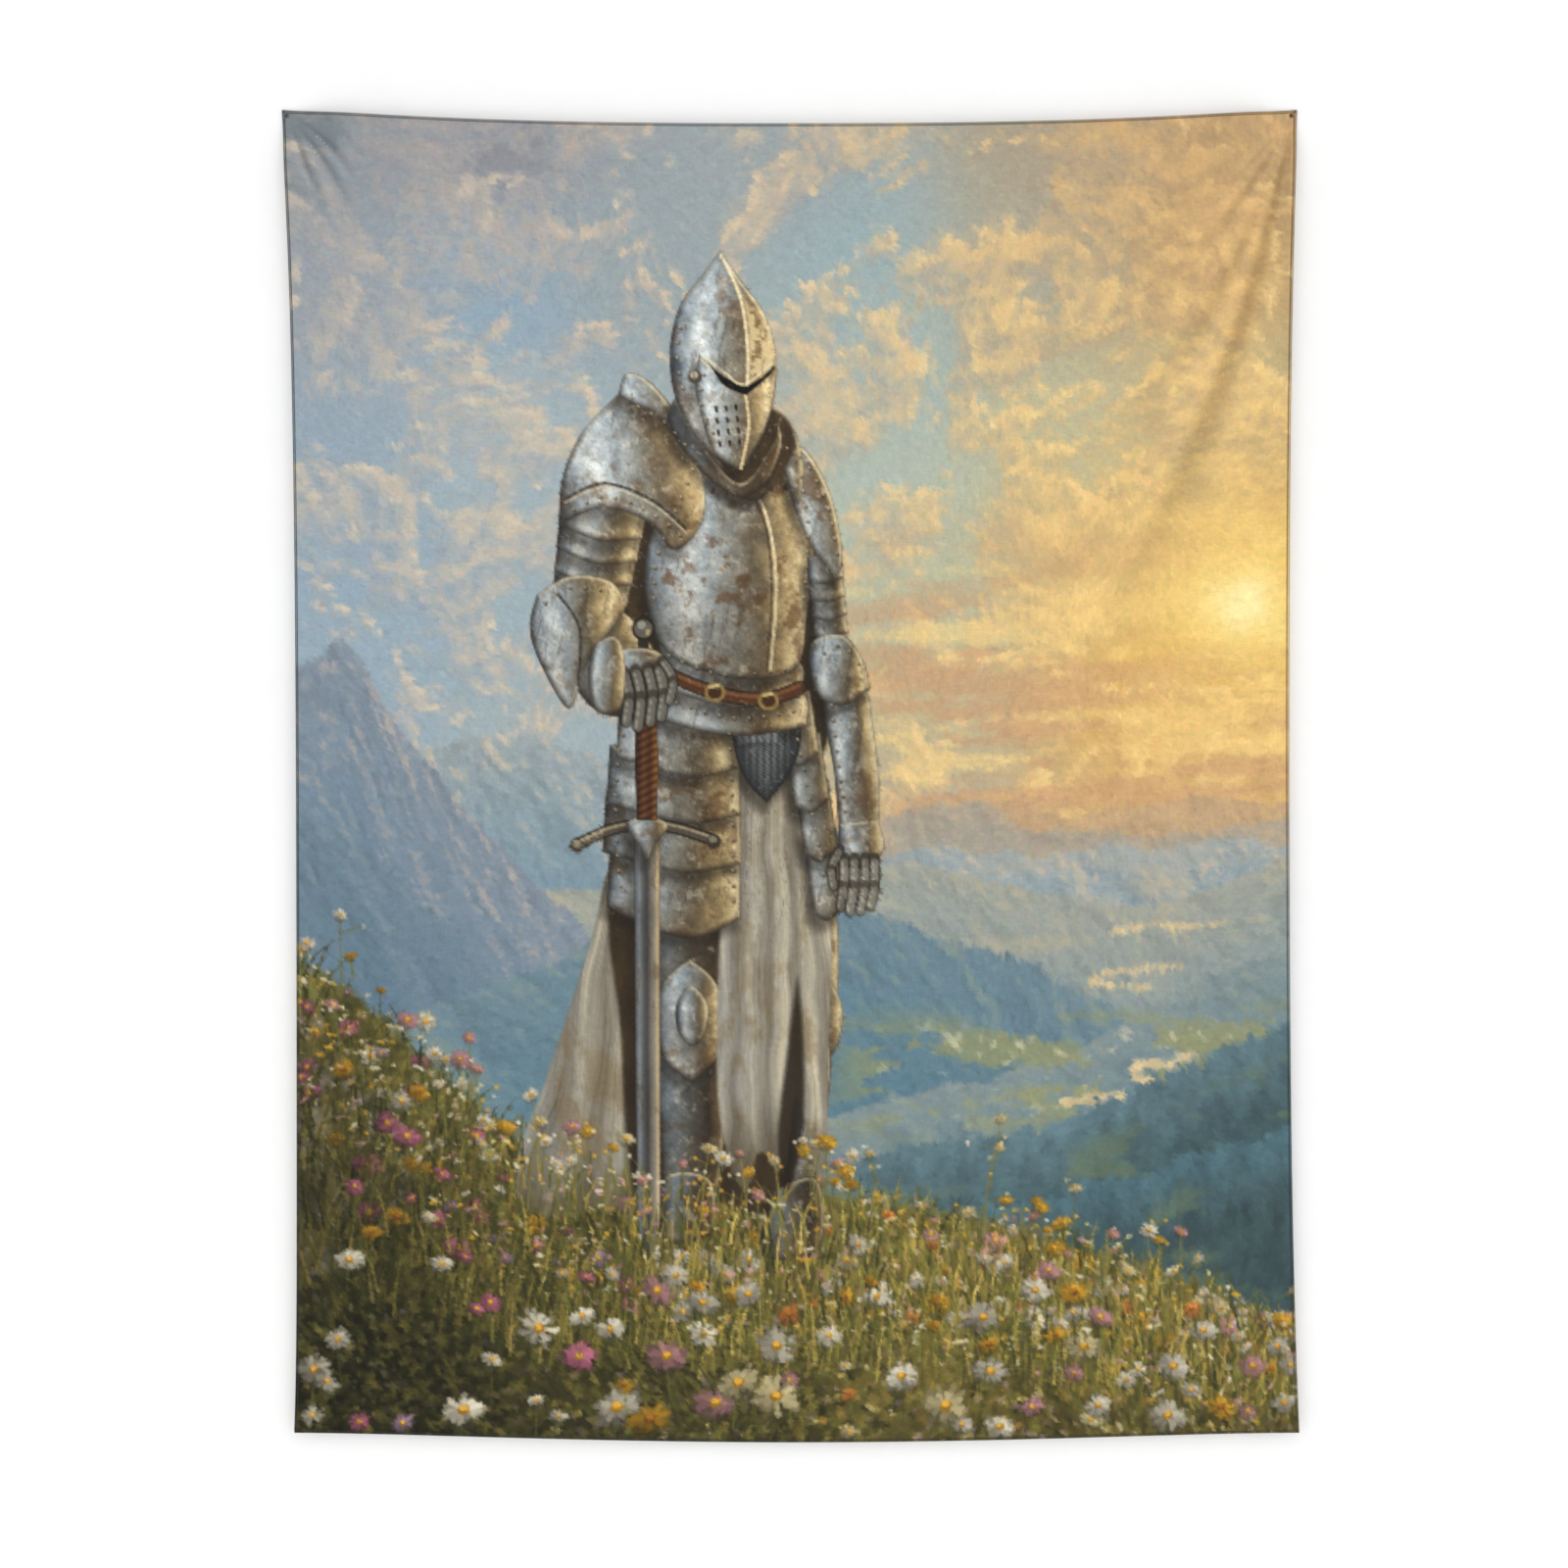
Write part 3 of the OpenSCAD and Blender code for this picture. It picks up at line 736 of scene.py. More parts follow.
# plates of the skirt, from the lowest up: top left, top right, foot, and how much earth is on it
SKIRT_LEFT = [
    ((31.6, 70.6), (44.6, 71.4), 78.8, 0.5),
    ((31.2, 66), (44.7, 67), 73.4, 0.42),
    ((31.6, 61.4), (44.6, 62.4), 68.6, 0.3),
    ((32.6, 57), (44.4, 58), 64, 0.15),
]
SKIRT_RIGHT = [
    ((51, 70), (54.4, 69.4), 78.2, 0.4),
    ((50.2, 65.4), (53.6, 64.6), 72.4, 0.3),
    ((49.2, 61), (52.8, 60), 67.6, 0.2),
    ((48, 56.6), (51.8, 55.8), 63, 0.1),
]


def tasset(a, b, foot, right, tip, left):
    """Outline of a skirt plate between top corners a and b, its lower points given from them and the foot."""
    return ([a] * 2 + [b] * 2 + [(b[0] + right[0], foot + right[1])] * 2
            + [((a[0] + b[0]) / 2 + tip[0], foot + tip[1])] + [(a[0] + left[0], foot + left[1])] * 2)


def paint_body(c):
    """Skirt plates, mail, waist bands, breastplate, collar and belt."""
    recess(c, [(49, 38), (53.4, 38), (54.4, 46), (53.8, 57), (53, 62), (50, 60), (50.6, 50)], 698)
    recess(c, [(31.6, 40), (37, 39), (37.4, 48), (37, 56), (33, 56), (31.4, 48)], 699)
    for k, (a, b, foot, earth) in enumerate(SKIRT_LEFT):
        tip = 0.5 if k else 1.6
        plate(c, tasset(a, b, foot, (0.1, -0.4), (1, tip), (-0.4, -1.4)), 38, 7, seed=600 + 5 * k,
              low=earth, rust=0.62)
    for k, (a, b, foot, earth) in enumerate(SKIRT_RIGHT):
        plate(c, tasset(a, b, foot, (0.9, -1), (0.8, 0.4), (1.0, -0.4)), (a[0] + b[0]) / 2 + 0.6, 2.6,
              seed=630 + 5 * k, low=earth)
    mail = [(44.2, 57), (50.2, 57), (50.8, 61), (49.6, 64.2), (47.4, 67), (47.4, 67), (45.2, 64.6), (44, 61)]
    shadow(c, mail)
    win, d = inside(c, mail)
    x, y = c.x[win], c.y[win]
    links = 0.5 + 0.5 * np.sin(x * 9 + 1.5 * np.sin(y * 9)) * np.sin(y * 9)
    grey = mix("33363a", "8c9298", links * soft(-0.3, 2.4, d))
    c.blend(win, mix(grey, DARK, 0.7 * soft(0.4, 0, d)), soft(-0.1, 0.1, d))
    # waist bands, breastplate and neck
    plate(c, [(36.2, 54), (36.2, 54), (43, 56.6), (50.8, 56), (51.4, 59.4), (51.4, 59.4), (44, 60.4),
              (35.4, 58.6), (35.4, 58.6)], 43.5, 8.4, seed=660, low=0.15)
    plate(c, [(36.6, 51.4), (36.6, 51.4), (43, 53.6), (50.6, 53), (50.8, 56.6), (50.8, 56.6), (44, 57.6),
              (36, 55.4), (36, 55.4)], 43.5, 8, seed=664, low=0.25, rust=0.7)
    plate(c, [(40.6, 31), (46, 34), (49.6, 31.4), (51.8, 35.4), (52.3, 41.4), (51.6, 47.6), (50.6, 53.4),
              (46.6, 54.8), (41, 54), (37, 51.8), (35.3, 47), (35.5, 41.6), (37.6, 37), (39.4, 33.4)], 43.6,
          8.8, seed=670, low=0.42, rust=0.75, bulge=0.12)
    line(c, [(46.2, 35.6), (47.8, 40), (48.4, 46), (47.8, 54)], 0.32, "f3e4bd", 0.85)
    line(c, [(45.8, 35.8), (47.4, 40), (47.95, 46), (47.4, 54)], 0.22, "3a3126", 0.6)
    for k in range(7):
        dab(c, 40.6 + k * 1.45, 36.0 + 0.45 * np.sin(k * 0.9), 40.7 + k * 1.45, 36.1, 0.42, 0.42, "2e2a26",
            0.7)
    collar = [(39.4, 29), (39.4, 29), (42.5, 33), (46, 35), (49.6, 31.4), (49.6, 31.4), (49.4, 33.6),
              (46.4, 37.2), (42, 35), (39.4, 31.4)]
    plate(c, collar, 44.5, 5.4, seed=680, low=0.5, stops=SHADED)
    strap(c, [(37.2, 54.2), (40.6, 55.6), (44.6, 56.6), (48, 56.6), (50.8, 55.6)], 1.15)
    for bx, by in ((42.2, 56.1), (47.6, 56.9)):
        dab(c, bx - 0.1, by, bx + 0.1, by, 1.9, 1.9, "a58a52")
        dab(c, bx - 0.1, by, bx + 0.1, by, 1.2, 1.2, "4a3020")
        dab(c, bx - 0.5, by - 0.5, bx + 0.3, by - 0.7, 0.3, 0.3, "f0dca0")


def paint_far_arm(c):
    """The arm that hangs down, at the picture's right, from its lames to its shoulder."""
    lames(c, (53.2, 42.6), (54.0, 51.6), 3.4, 3.2, 5, 700, low=0.1, rust=0.4)
    plate(c, [(53.4, 55.4), (57, 54.6), (58.2, 60), (58.8, 66.4), (58.2, 69.6), (55, 70), (54.2, 64),
              (53.4, 59.4)], 56, 2.8, 0.09, seed=712, low=0.3)
    line(c, [(57.8, 55.6), (59.4, 53.6)], 0.4, "c7b48a", 0.8)
    plate(c, [(51.8, 51.4), (55, 50.4), (57.2, 53), (57.8, 55.8), (57.8, 55.8), (55, 57.4), (52.4, 56)],
          54.6, 3.1, seed=716, low=0.2)
    plate(c, [(54.6, 69), (54.6, 69), (58.6, 68.6), (58.6, 68.6), (59.2, 71.6), (57.2, 73.4), (54.8, 72.8)],
          56.9, 2.4, seed=720, low=0.3)
    for k, (x0, x1) in enumerate(((55.2, 54.8), (56.2, 55.7), (57.3, 56.8), (58.2, 57.8))):
        finger(c, [(x0, 72.4), (x0 - 0.1 + 0.05 * k, 75), (x1, 77.9 - 0.45 * abs(k - 1.4))], 1.05)
    finger(c, [(54.8, 71.6), (53.9, 73.4), (54.1, 75.2)], 0.95)
    plate(c, [(48.7, 30.6), (48.7, 30.6), (51.6, 32.4), (54, 36.8), (55.1, 42.6), (54.4, 44.8),
              (54.4, 44.8), (52.4, 42.4), (50.4, 38.4), (49.3, 34)], 52.2, 3.2, 0.3, seed=726, low=0.15,
          rust=0.6)
    plate(c, [(47.8, 29.4), (47.8, 29.4), (50.2, 30.2), (51.2, 34), (50.6, 37.6), (49.4, 34.4)], 49.8, 1.8,
          0.1, seed=730, low=0.1)


def paint_near_arm(c):
    """The arm that rests on the sword, at the picture's left, without its hand."""
    lames(c, (31.2, 37.4), (29.7, 46.6), 8.6, 7.4, 4, 750, low=0.2, rust=0.45, sag=0.9)
    plate(c, [(28.4, 49.6), (32.4, 48), (35.6, 51.2), (36.2, 54), (33.6, 58.2), (30.2, 58), (27.6, 54.4)],
          31.4, 4.4, 0.25, seed=760, low=0.35)
    plate(c, [(24.3, 46.8), (24.3, 46.8), (27.6, 44.8), (31.6, 45.2), (33.2, 47.6), (31.6, 50.2),
              (29.2, 53.6), (28, 57.4), (26.8, 57.4), (24.2, 52.6), (23.6, 49.6)], 28, 5, 0.1, seed=766,
          low=0.2, rust=0.4)
    line(c, [(26.4, 46.6), (28.6, 50), (28.4, 55.6)], 0.3, "2c2c2e", 0.6)
    big = [(33.8, 26.2), (36.8, 27.6), (39.6, 31.2), (41.2, 35.8), (40.9, 39.4), (39, 41.8), (37.6, 41.8),
           (35.6, 39.4), (31, 38), (26.6, 39.8), (26.6, 39.8), (26.9, 35.4), (28.6, 31.2), (31.2, 28.2)]
    plate(c, big, 34, 8.0, 0.25, seed=772, low=0.3, rust=0.55, bulge=0.15)
    line(c, [(27.2, 37.2), (31.2, 35.6), (36, 37.2), (39.4, 40)], 0.28, "33302c", 0.75)
    line(c, [(27.2, 37.6), (31.2, 36), (36, 37.6), (39.4, 40.4)], 0.2, "d8cfb4", 0.6)
    plate(c, [(32.6, 27), (32.6, 27), (33.4, 24.8), (35.4, 25.2), (38.2, 28.2), (40.2, 32), (39.4, 32.6),
              (39.4, 32.6), (36.4, 28.8)], 36.4, 4.2, 0.5, seed=776, low=0.05, rust=0.3)


def paint_helm(c):
    """The collar under the helm, its skull with a lit comb, and the closed visor."""
    recess(c, [(45, 28), (49, 28.6), (50.4, 31.6), (49, 34.4), (46, 36), (43, 34)], 799)
    gorget = [(38.4, 27), (38.4, 27), (41, 31.4), (44.8, 35.4), (48, 31.6), (48.6, 29.6), (49, 31.8),
              (47.4, 35.4), (44.6, 36.8), (40.6, 34), (37.6, 29.4)]
    plate(c, gorget, 43.6, 6, stops=SHADED, seed=800, low=0.5)
    skull = [(43, 12.5), (43, 12.5), (45, 15.4), (47.4, 18.8), (48.5, 22.8), (48.3, 26.8), (47.2, 30.4),
             (44.9, 34.4), (44.9, 34.4), (41.6, 32.4), (39.4, 29.4), (38.1, 26), (37.9, 21.8), (39, 17.8),
             (41.2, 14.9)]
    plate(c, skull, 43.4, 5.3, -0.03, seed=806, low=0.25, rust=0.5, bulge=0.2)
    win, d = inside(c, [(43.2, 13), (43.2, 13), (45.6, 16.8), (48.3, 21.6), (48.5, 24.4), (45.8, 26.4),
                        (45.4, 22), (44.8, 17)])
    x, y = c.x[win], c.y[win]
    lit = mix("c9b283", "f7e7bd", lumps(x / 1.1, y / 1.6, 812, 4))
    lit = mix(lit, "6b5637", 0.8 * soft(0.52, 0.64, lumps(x / 1.2, y / 1.2, 813, 5, 0.7)))
    c.blend(win, lit, 0.85 * soft(0.0, 0.7, d))
    line(c, [(43.1, 13), (44.9, 17), (45.6, 21.6), (45.6, 26)], 0.3, "fbeec9", 0.9)
    visor = [(40.8, 22.8), (40.8, 22.8), (43, 24.8), (45.3, 26.2), (47, 25.2), (48.4, 23.8), (48.2, 27),
             (47.1, 30.4), (44.9, 34.3), (44.9, 34.3), (42.2, 32.4), (40.9, 28.6), (40.3, 25.4)]
    plate(c, visor, 44.0, 4.3, 0.05, seed=820, low=0.3, rust=0.45, cast=0.35)
    line(c, [(45.4, 26.6), (45.7, 30), (44.9, 34)], 0.3, "f3dfae", 0.8)
    win, d = inside(c, [(41.7, 23.6), (41.7, 23.6), (43.4, 25), (45.4, 25.9), (45.4, 25.9), (47, 25),
                        (48.2, 23.9), (48.0, 24.7), (45.5, 26.8), (45.5, 26.8), (43.2, 25.8)])
    c.blend(win, "14110e", soft(-0.05, 0.12, d))
    line(c, [(41.4, 23.0), (43.4, 24.6), (45.3, 25.7), (48.2, 23.5)], 0.24, "e9dcbc", 0.8)
    for row in range(4):
        for k in range(3):
            hx, hy = 42.4 + k * 1.0 + row * 0.12, 28 + row * 1.15 - 0.1 * k
            dab(c, hx, hy, hx + 0.08, hy + 0.35, 0.3, 0.26, "1c1712", 0.9)
    dab(c, 40.3, 25, 40.4, 25, 1.3, 1.3, "4a453e")
    dab(c, 40.2, 24.8, 40.3, 24.8, 0.7, 0.7, "c9c3ae")


def paint_sword(c):
    """Blade, guard and wrapped grip."""
    blade = [(34.0, 70.4), (36.6, 70.4), (36.5, 108), (35.3, 114), (34.2, 108)]
    shadow(c, blade, -0.7, 0.4, 0.5, smooth=False)
    win, d = inside(c, blade, smooth=False)
    x, y = c.x[win], c.y[win]
    across = [(34.0, "5b5f66"), (34.5, "8d95a0"), (34.95, "5a5c60"), (35.3, "4a4846"),
              (35.6, "767472"), (36.05, "a39a8c"), (36.35, "e4cfa6"), (36.6, "8e7857")]
    steel = ramp(across, x) * (0.82 + 0.36 * lumps(x / 0.9, y / 3.4, 840, 4))[..., None]
    steel = mix(steel, "5c4630", 0.4 * soft(0.55, 0.7, lumps(x / 1.1, y / 3, 842, 5, 0.7)))
    cover(c, win, mix(steel, DARK, 0.4 * soft(0.14, 0, d)), soft(-0.08, 0.08, d))
    guard = [(28.4, 71.2), (31.6, 69.8), (35.2, 69.2), (38.6, 69.6), (41.8, 70.6)]
    for wide, tone, lift in ((1.2, DARK, 0.0), (0.85, "5e564a", 0.0), (0.26, "b5aa92", -0.22)):
        line(c, [(gx, gy + lift) for gx, gy in guard], wide, tone)
    plate(c, [(33.2, 69.2), (35.3, 68.4), (37.4, 69.2), (36, 71.4), (35.3, 72.8), (34.6, 71.4)], 35.3, 2.4,
          seed=850, low=0.1)
    for x0, y0 in ((28.2, 71.4), (42, 70.8)):
        dab(c, x0, y0, x0 + 0.05, y0, 1.4, 1.4, "3f3930")
        dab(c, x0 - 0.1, y0 - 0.2, x0 + 0.1, y0 - 0.2, 0.7, 0.6, "928a78")
    win, d = inside(c, [(34.2, 58), (36.3, 58), (36.5, 63), (36.3, 68.8), (34.3, 68.8), (34.1, 63)],
                    smooth=False)
    x, y = c.x[win], c.y[win]
    wrap = ramp(LEATHER, (x - 35.3) / 1.1) * (0.62 + 0.5 * (0.5 + 0.5 * np.sin((y + 0.5 * x) * 8)))[..., None]
    c.blend(win, mix(wrap, DARK, 0.7 * soft(0.2, 0, d)), soft(-0.1, 0.1, d))


def paint_pommel(c):
    """The round pommel behind the hand."""
    x, y = 35.0, 49.9
    dab(c, x, y, x, y + 2.6, 1.0, 1.1, DARK, 0.9)
    dab(c, x, y, x + 0.05, y, 2.3, 2.3, DARK, 0.9)
    dab(c, x, y, x + 0.05, y, 1.8, 1.8, "6b6860")
    dab(c, x - 0.2, y - 0.35, x - 0.1, y - 0.4, 0.8, 0.7, "a9aba4", 0.9)
    dab(c, x + 0.5, y + 0.2, x + 0.4, y + 0.5, 0.4, 0.3, "dcc492", 0.8)


def paint_gauntlet(c):
    """The hand that rests on the sword."""
    paint_pommel(c)
    plate(c, [(31.2, 53.2), (33.6, 51.8), (36.6, 52.2), (37.6, 54.4), (36.6, 57), (33.4, 57.6),
              (31.2, 56.2)], 34.2, 3.6, seed=870, low=0.25, rust=0.3)
    for k, x0 in enumerate((33.0, 34.2, 35.4, 36.5)):
        finger(c, [(x0, 54.2 - 0.2 * k), (x0 + 0.55, 56.6 - 0.15 * k),
                   (x0 + 0.25, 59.6 - 0.5 * abs(k - 1))], 1.2)
    finger(c, [(36.9, 53), (38, 54.8), (37.6, 57)], 1.0)
    plate(c, [(30.2, 51.6), (32.4, 50.8), (33.2, 54), (32.6, 57.8), (30.4, 58.2), (29.4, 55)], 31.2, 2.2,
          seed=876, low=0.2, rust=0.3)


def rivets(c, points):
    """Domed rivets along a line, each with a lit top and a dark foot."""
    apart, size = 1.5, 0.28
    p = curve(points, closed=False, steps=24)
    run = np.concatenate([[0], np.cumsum(np.hypot(*np.diff(p, axis=0).T))])
    for at in np.arange(apart / 2, run[-1], apart):
        x, y = np.interp(at, run, p[:, 0]), np.interp(at, run, p[:, 1])
        dab(c, x + 0.05, y + 0.1, x + 0.06, y + 0.1, size * 1.3, size * 1.3, DARK, 0.75)
        dab(c, x, y, x + 0.01, y, size, size, "9a8d74", 0.9)
        dab(c, x - 0.06, y - 0.07, x - 0.05, y - 0.07, size * 0.4, size * 0.4, "f1e8cf", 0.8)


# lines along which the armour is riveted
RIVETED = [
    [(27.4, 38.6), (31.2, 36.9), (35.6, 38.3), (39.2, 41)],
    [(34, 27.6), (37.4, 29.6), (39.6, 32)],
    [(40.4, 33.4), (38.4, 38), (36.4, 43), (36.1, 48)],
    [(50.8, 34), (51.6, 40), (51.2, 47)],
    [(36.9, 52.2), (42.8, 54.3), (50.2, 53.7)],
    [(36.2, 56.4), (44, 58.6), (50.8, 57.8)],
    [(33.4, 58.2), (32.4, 63), (32.2, 69), (32.6, 76)],
    [(43.6, 59.4), (43.9, 66), (44, 77)],
    [(50.4, 60), (51.6, 66), (53.4, 75.4)],
    [(48.9, 31.6), (51.4, 33.4), (53.6, 37.6), (54.5, 42.4)],
    [(24.6, 48), (27.4, 46), (31.4, 46.2)],
    [(53.9, 56.6), (54.6, 63), (55.4, 69)],
    [(52.6, 52.6), (55, 51.4), (57, 53.8)],
    [(41.4, 24), (40.9, 27.6), (42.6, 31.4)],
    [(39, 19.4), (38.6, 23), (39.4, 27.4)],
]


def paint_rivets(c):
    """The rivets along every plate's edge that has them."""
    for points in RIVETED:
        rivets(c, points)


def weather(c):
    """Hairline scratches and flecks of rust and light, over the whole figure."""
    x, y = c.x, c.y
    scratch = lumps(x / 0.5 + y / 2.5, y / 4, 881, 4, 0.75)
    fleck = lumps(x / 0.55, y / 0.55, 882, 3, 0.8)
    steel = c.figure * soft(82, 76, y)
    c.rgb[:] = mix(c.rgb, "3b332a", 0.3 * steel * soft(0.64, 0.74, scratch))
    c.rgb[:] = mix(c.rgb, "7a5a3a", 0.25 * steel * soft(0.66, 0.76, fleck))
    c.rgb[:] = mix(c.rgb, "e8e2d2", 0.25 * steel * soft(0.33, 0.23, fleck))


def paint_figure(c):
    """The armoured figure, from back to front."""
    paint_legs(c)
    paint_body(c)
    paint_far_arm(c)
    paint_near_arm(c)
    paint_helm(c)
    paint_rivets(c)
    weather(c)
    paint_sword(c)
    paint_gauntlet(c)


WARMTH = np.array([1.005, 0.985, 0.94], np.float32)   # of the ink, over the whole picture


def paint(across, down):
    """The whole picture, as a grid of display colours."""
    c = Canvas(across, down)
    paint_sky(c)
    paint_land(c)
    paint_meadow(c)
    drift = lumps(c.x / 14, c.y / 14, 301, 3) * 5 - 1.8
    brushwork(c, 0.62, 1.15, 0.5, drift, 0.016, 5, 0.7)
    brushwork(c, 0.4, 0.7, 0.34, drift + 0.6, 0.016, 6, 0.6)
    blades(c, 1300, 401, (0.0, 0.6), 4.6, 0.5)
    paint_flowers(c, False)
    paint_figure(c)
    c.rgb *= (1 - 0.16 * c.figure * soft(36, 56, c.y))[..., None]
    dusk = soft(50, 4, c.x) * soft(4, 22, c.y - meadow_top(c.x))
    c.rgb *= (1 - 0.22 * dusk)[..., None]
    blades(c, 1500, 402, (0.36, 1.0), 4.8, 0.55)
    paint_tall_stems(c, 70, 405)
    sprinkle(c, 900, 3, [WHITE, YELLOW, CREAM, PINK], -1, 14, 0.3)
    paint_flowers(c, True)
    c.rgb *= WARMTH
    brushwork(c, 0.3, 0.62, 0.3, drift - 0.4, 0.02, 7, 0.5 * (1 - 0.7 * soft(0, 0.1, c.figure)))
    return c


# ---- meshes ----
def mesh_object(name, places, faces, materials, slots=None, colours=None):
    """An object from an array of places and arrays of faces, each array with its own number of corners."""
    mesh = bpy.data.meshes.new(name)
    corners = np.concatenate([f.ravel() for f in faces])
    sizes = np.concatenate([np.full(len(f), f.shape[1]) for f in faces])
    mesh.vertices.add(len(places))
    mesh.vertices.foreach_set("co", np.asarray(places, np.float32).ravel())
    mesh.loops.add(len(corners))
    mesh.loops.foreach_set("vertex_index", corners.astype(np.int32))
    mesh.polygons.add(len(sizes))
    mesh.polygons.foreach_set("loop_start", (np.cumsum(sizes) - sizes).astype(np.int32))
    for material in materials:
        mesh.materials.append(material)
    if slots is not None:
        mesh.polygons.foreach_set("material_index", slots.astype(np.int32))
    mesh.update(calc_edges=True)
    if colours is not None:
        layer = mesh.color_attributes.new("print", "FLOAT_COLOR", "POINT")
        rgba = np.ones((len(places), 4), np.float32)
        rgba[:, :3] = colours
        layer.data.foreach_set("color", rgba.ravel())
    mesh.shade_smooth()
    obj = bpy.data.objects.new(name, mesh)
    scene.collection.objects.link(obj)
    return obj


def grid_faces(rows, cols, first=0, flip=False):
    """Quads over a grid of vertices numbered row by row."""
    n = first + np.arange(rows * cols).reshape(rows, cols)
    quads = np.stack([n[:-1, :-1], n[1:, :-1], n[1:, 1:], n[:-1, 1:]], -1).reshape(-1, 4)
    return quads[:, ::-1] if flip else quads


def rim(n):
    """The vertices round the edge of a grid of numbers, in order."""
    return np.concatenate([n[0, :-1], n[:-1, -1], n[-1, :0:-1], n[:0:-1, 0]])


# ---- the shape of the hung cloth ----
def drawn_in(v, draw, flare, ease):
    """How far a side edge is drawn in, v of the way down it."""
    return draw * (1 - np.exp(-v / TOP_EASE)) - flare * np.exp(-(1 - v) / ease)


def place(u, v):
    """X and Z of the point that is u of the way across the cloth and v of the way down it."""
    left = -CLOTH_W / 2 + drawn_in(v, LEFT_DRAW, LEFT_FLARE, LEFT_EASE)
    right = CLOTH_W / 2 - drawn_in(v, RIGHT_DRAW, RIGHT_FLARE, RIGHT_EASE)
    top = CORNER_Z - TOP_SAG * (1 - np.abs(2 * u - 1) ** SAG_POWER)
    bottom = CORNER_Z - CLOTH_H - BOTTOM_BOW * np.clip(4 * u * (1 - u), 0, 1) ** BOW_POWER
    return left + u * (right - left), top + v * (bottom - top)


def fold_depth(side, x, z, turn, bend, reach, length, width, depth):
    """Depth of one curved fold, a valley with a low ridge on its outer side, that fades at both ends."""
    across = PIN_X - x if side == "right" else x + PIN_X
    r = np.hypot(across, z) / MM
    angle = np.degrees(np.arctan2(across, np.maximum(-z, 1e-6)))
    off = np.radians(angle - turn - bend * r / reach) * r
    off = off if side == "right" else -off
    off = off / (width * np.clip(r / reach, 0.2, 1.5) ** 0.7)
    along = np.exp(-np.abs((r - reach) / length) ** 2.4)
    return depth * MM * along * (np.exp(-off**2) - RIDGE * np.exp(-((off + 1.8) / 1.3) ** 2))


def front_depth(u, v):
    """How far the printed face stands from the wall."""
    x, z = place(u, v)
    held, folds = 0.0, 0.0
    for side, *fold in FOLDS:
        folds = folds + fold_depth(side, x, z, *fold)
    for pin_x in (-PIN_X, PIN_X):
        held = np.maximum(held, np.exp(-((x - pin_x) ** 2 + z**2) / PIN_HOLD**2))
    wave = WAVE * (lumps(u * 2.3 + 3, v * 3.1, 901, 3) - 0.5)
    ripple = RIPPLE * (lumps(u * 11, v * 13, 905, 3) - 0.5)
    clear = HANGING - PINNED + wave + ripple - folds
    clear = 0.5 * (clear + np.hypot(clear, TOUCHING))
    return PINNED + clear * (1 - held)


def on_cloth(u, v, depth):
    """Places in space for points of the cloth that stand that far from the wall."""
    x, z = place(u, v)
    return np.stack([x, -depth, z], -1)


def open_hole(n, places, pin_x, radius):
    """Opens the cell of a grid that a pin goes through. Returns its four corners, in order."""
    x, z = places[n[:, :, None]][..., 0, 0], places[n[:, :, None]][..., 0, 2]
    centre = (x[:-1, :-1] + x[1:, 1:]) / 2 - pin_x, (z[:-1, :-1] + z[1:, 1:]) / 2
    row, col = np.unravel_index(np.argmin(np.hypot(*centre)), centre[0].shape)
    ring = n[[row, row + 1, row + 1, row], [col, col, col + 1, col + 1]]
    for vertex, dx, dz in zip(ring, (-1, -1, 1, 1), (1, -1, -1, 1)):
        places[vertex, 0] = pin_x + dx * radius
        places[vertex, 2] = dz * radius
    return ring


def without(quads, ring):
    """The quads less the one whose corners are in the ring."""
    return quads[~np.isin(quads, ring).all(1)]


def shell(name, u, v, front, thick, materials, colours=None, coarse=1, holes=()):
    """A closed sheet: a front grid, a back grid that may be coarser, and the rim and holes between them."""
    rows, cols = u.shape
    bu, bv, back = (a[::coarse, ::coarse] for a in (u, v, front - thick))
    places = np.concatenate([on_cloth(u, v, front).reshape(-1, 3), on_cloth(bu, bv, back).reshape(-1, 3)])
    n = np.arange(rows * cols).reshape(rows, cols)
    m = rows * cols + np.arange(bu.size).reshape(bu.shape)
    front_quads = grid_faces(rows, cols)
    back_quads = grid_faces(*bu.shape, first=rows * cols, flip=True)
    fine, rough = rim(n), rim(m)
    steps = [np.roll(fine, -k)[::coarse] for k in range(coarse + 1)]
    faces = [np.stack([*steps, np.roll(rough, -1), rough], -1)]
    for pin_x in holes:
        a = open_hole(n, places, pin_x, HOLE_HALF)
        b = open_hole(m, places, pin_x, HOLE_HALF)
        front_quads, back_quads = without(front_quads, a), without(back_quads, b)
        faces.append(np.stack([a, b, np.roll(b, -1), np.roll(a, -1)], -1))
    slots = np.concatenate([np.zeros(len(front_quads)), np.ones(len(back_quads)),
                            *(np.zeros(len(f)) for f in faces)])
    if colours is not None:
        colours = np.concatenate([colours.reshape(-1, 3), colours[::coarse, ::coarse].reshape(-1, 3)])
    return mesh_object(name, places, [front_quads, back_quads, *faces], materials,
                       slots if len(materials) > 1 else None, colours)


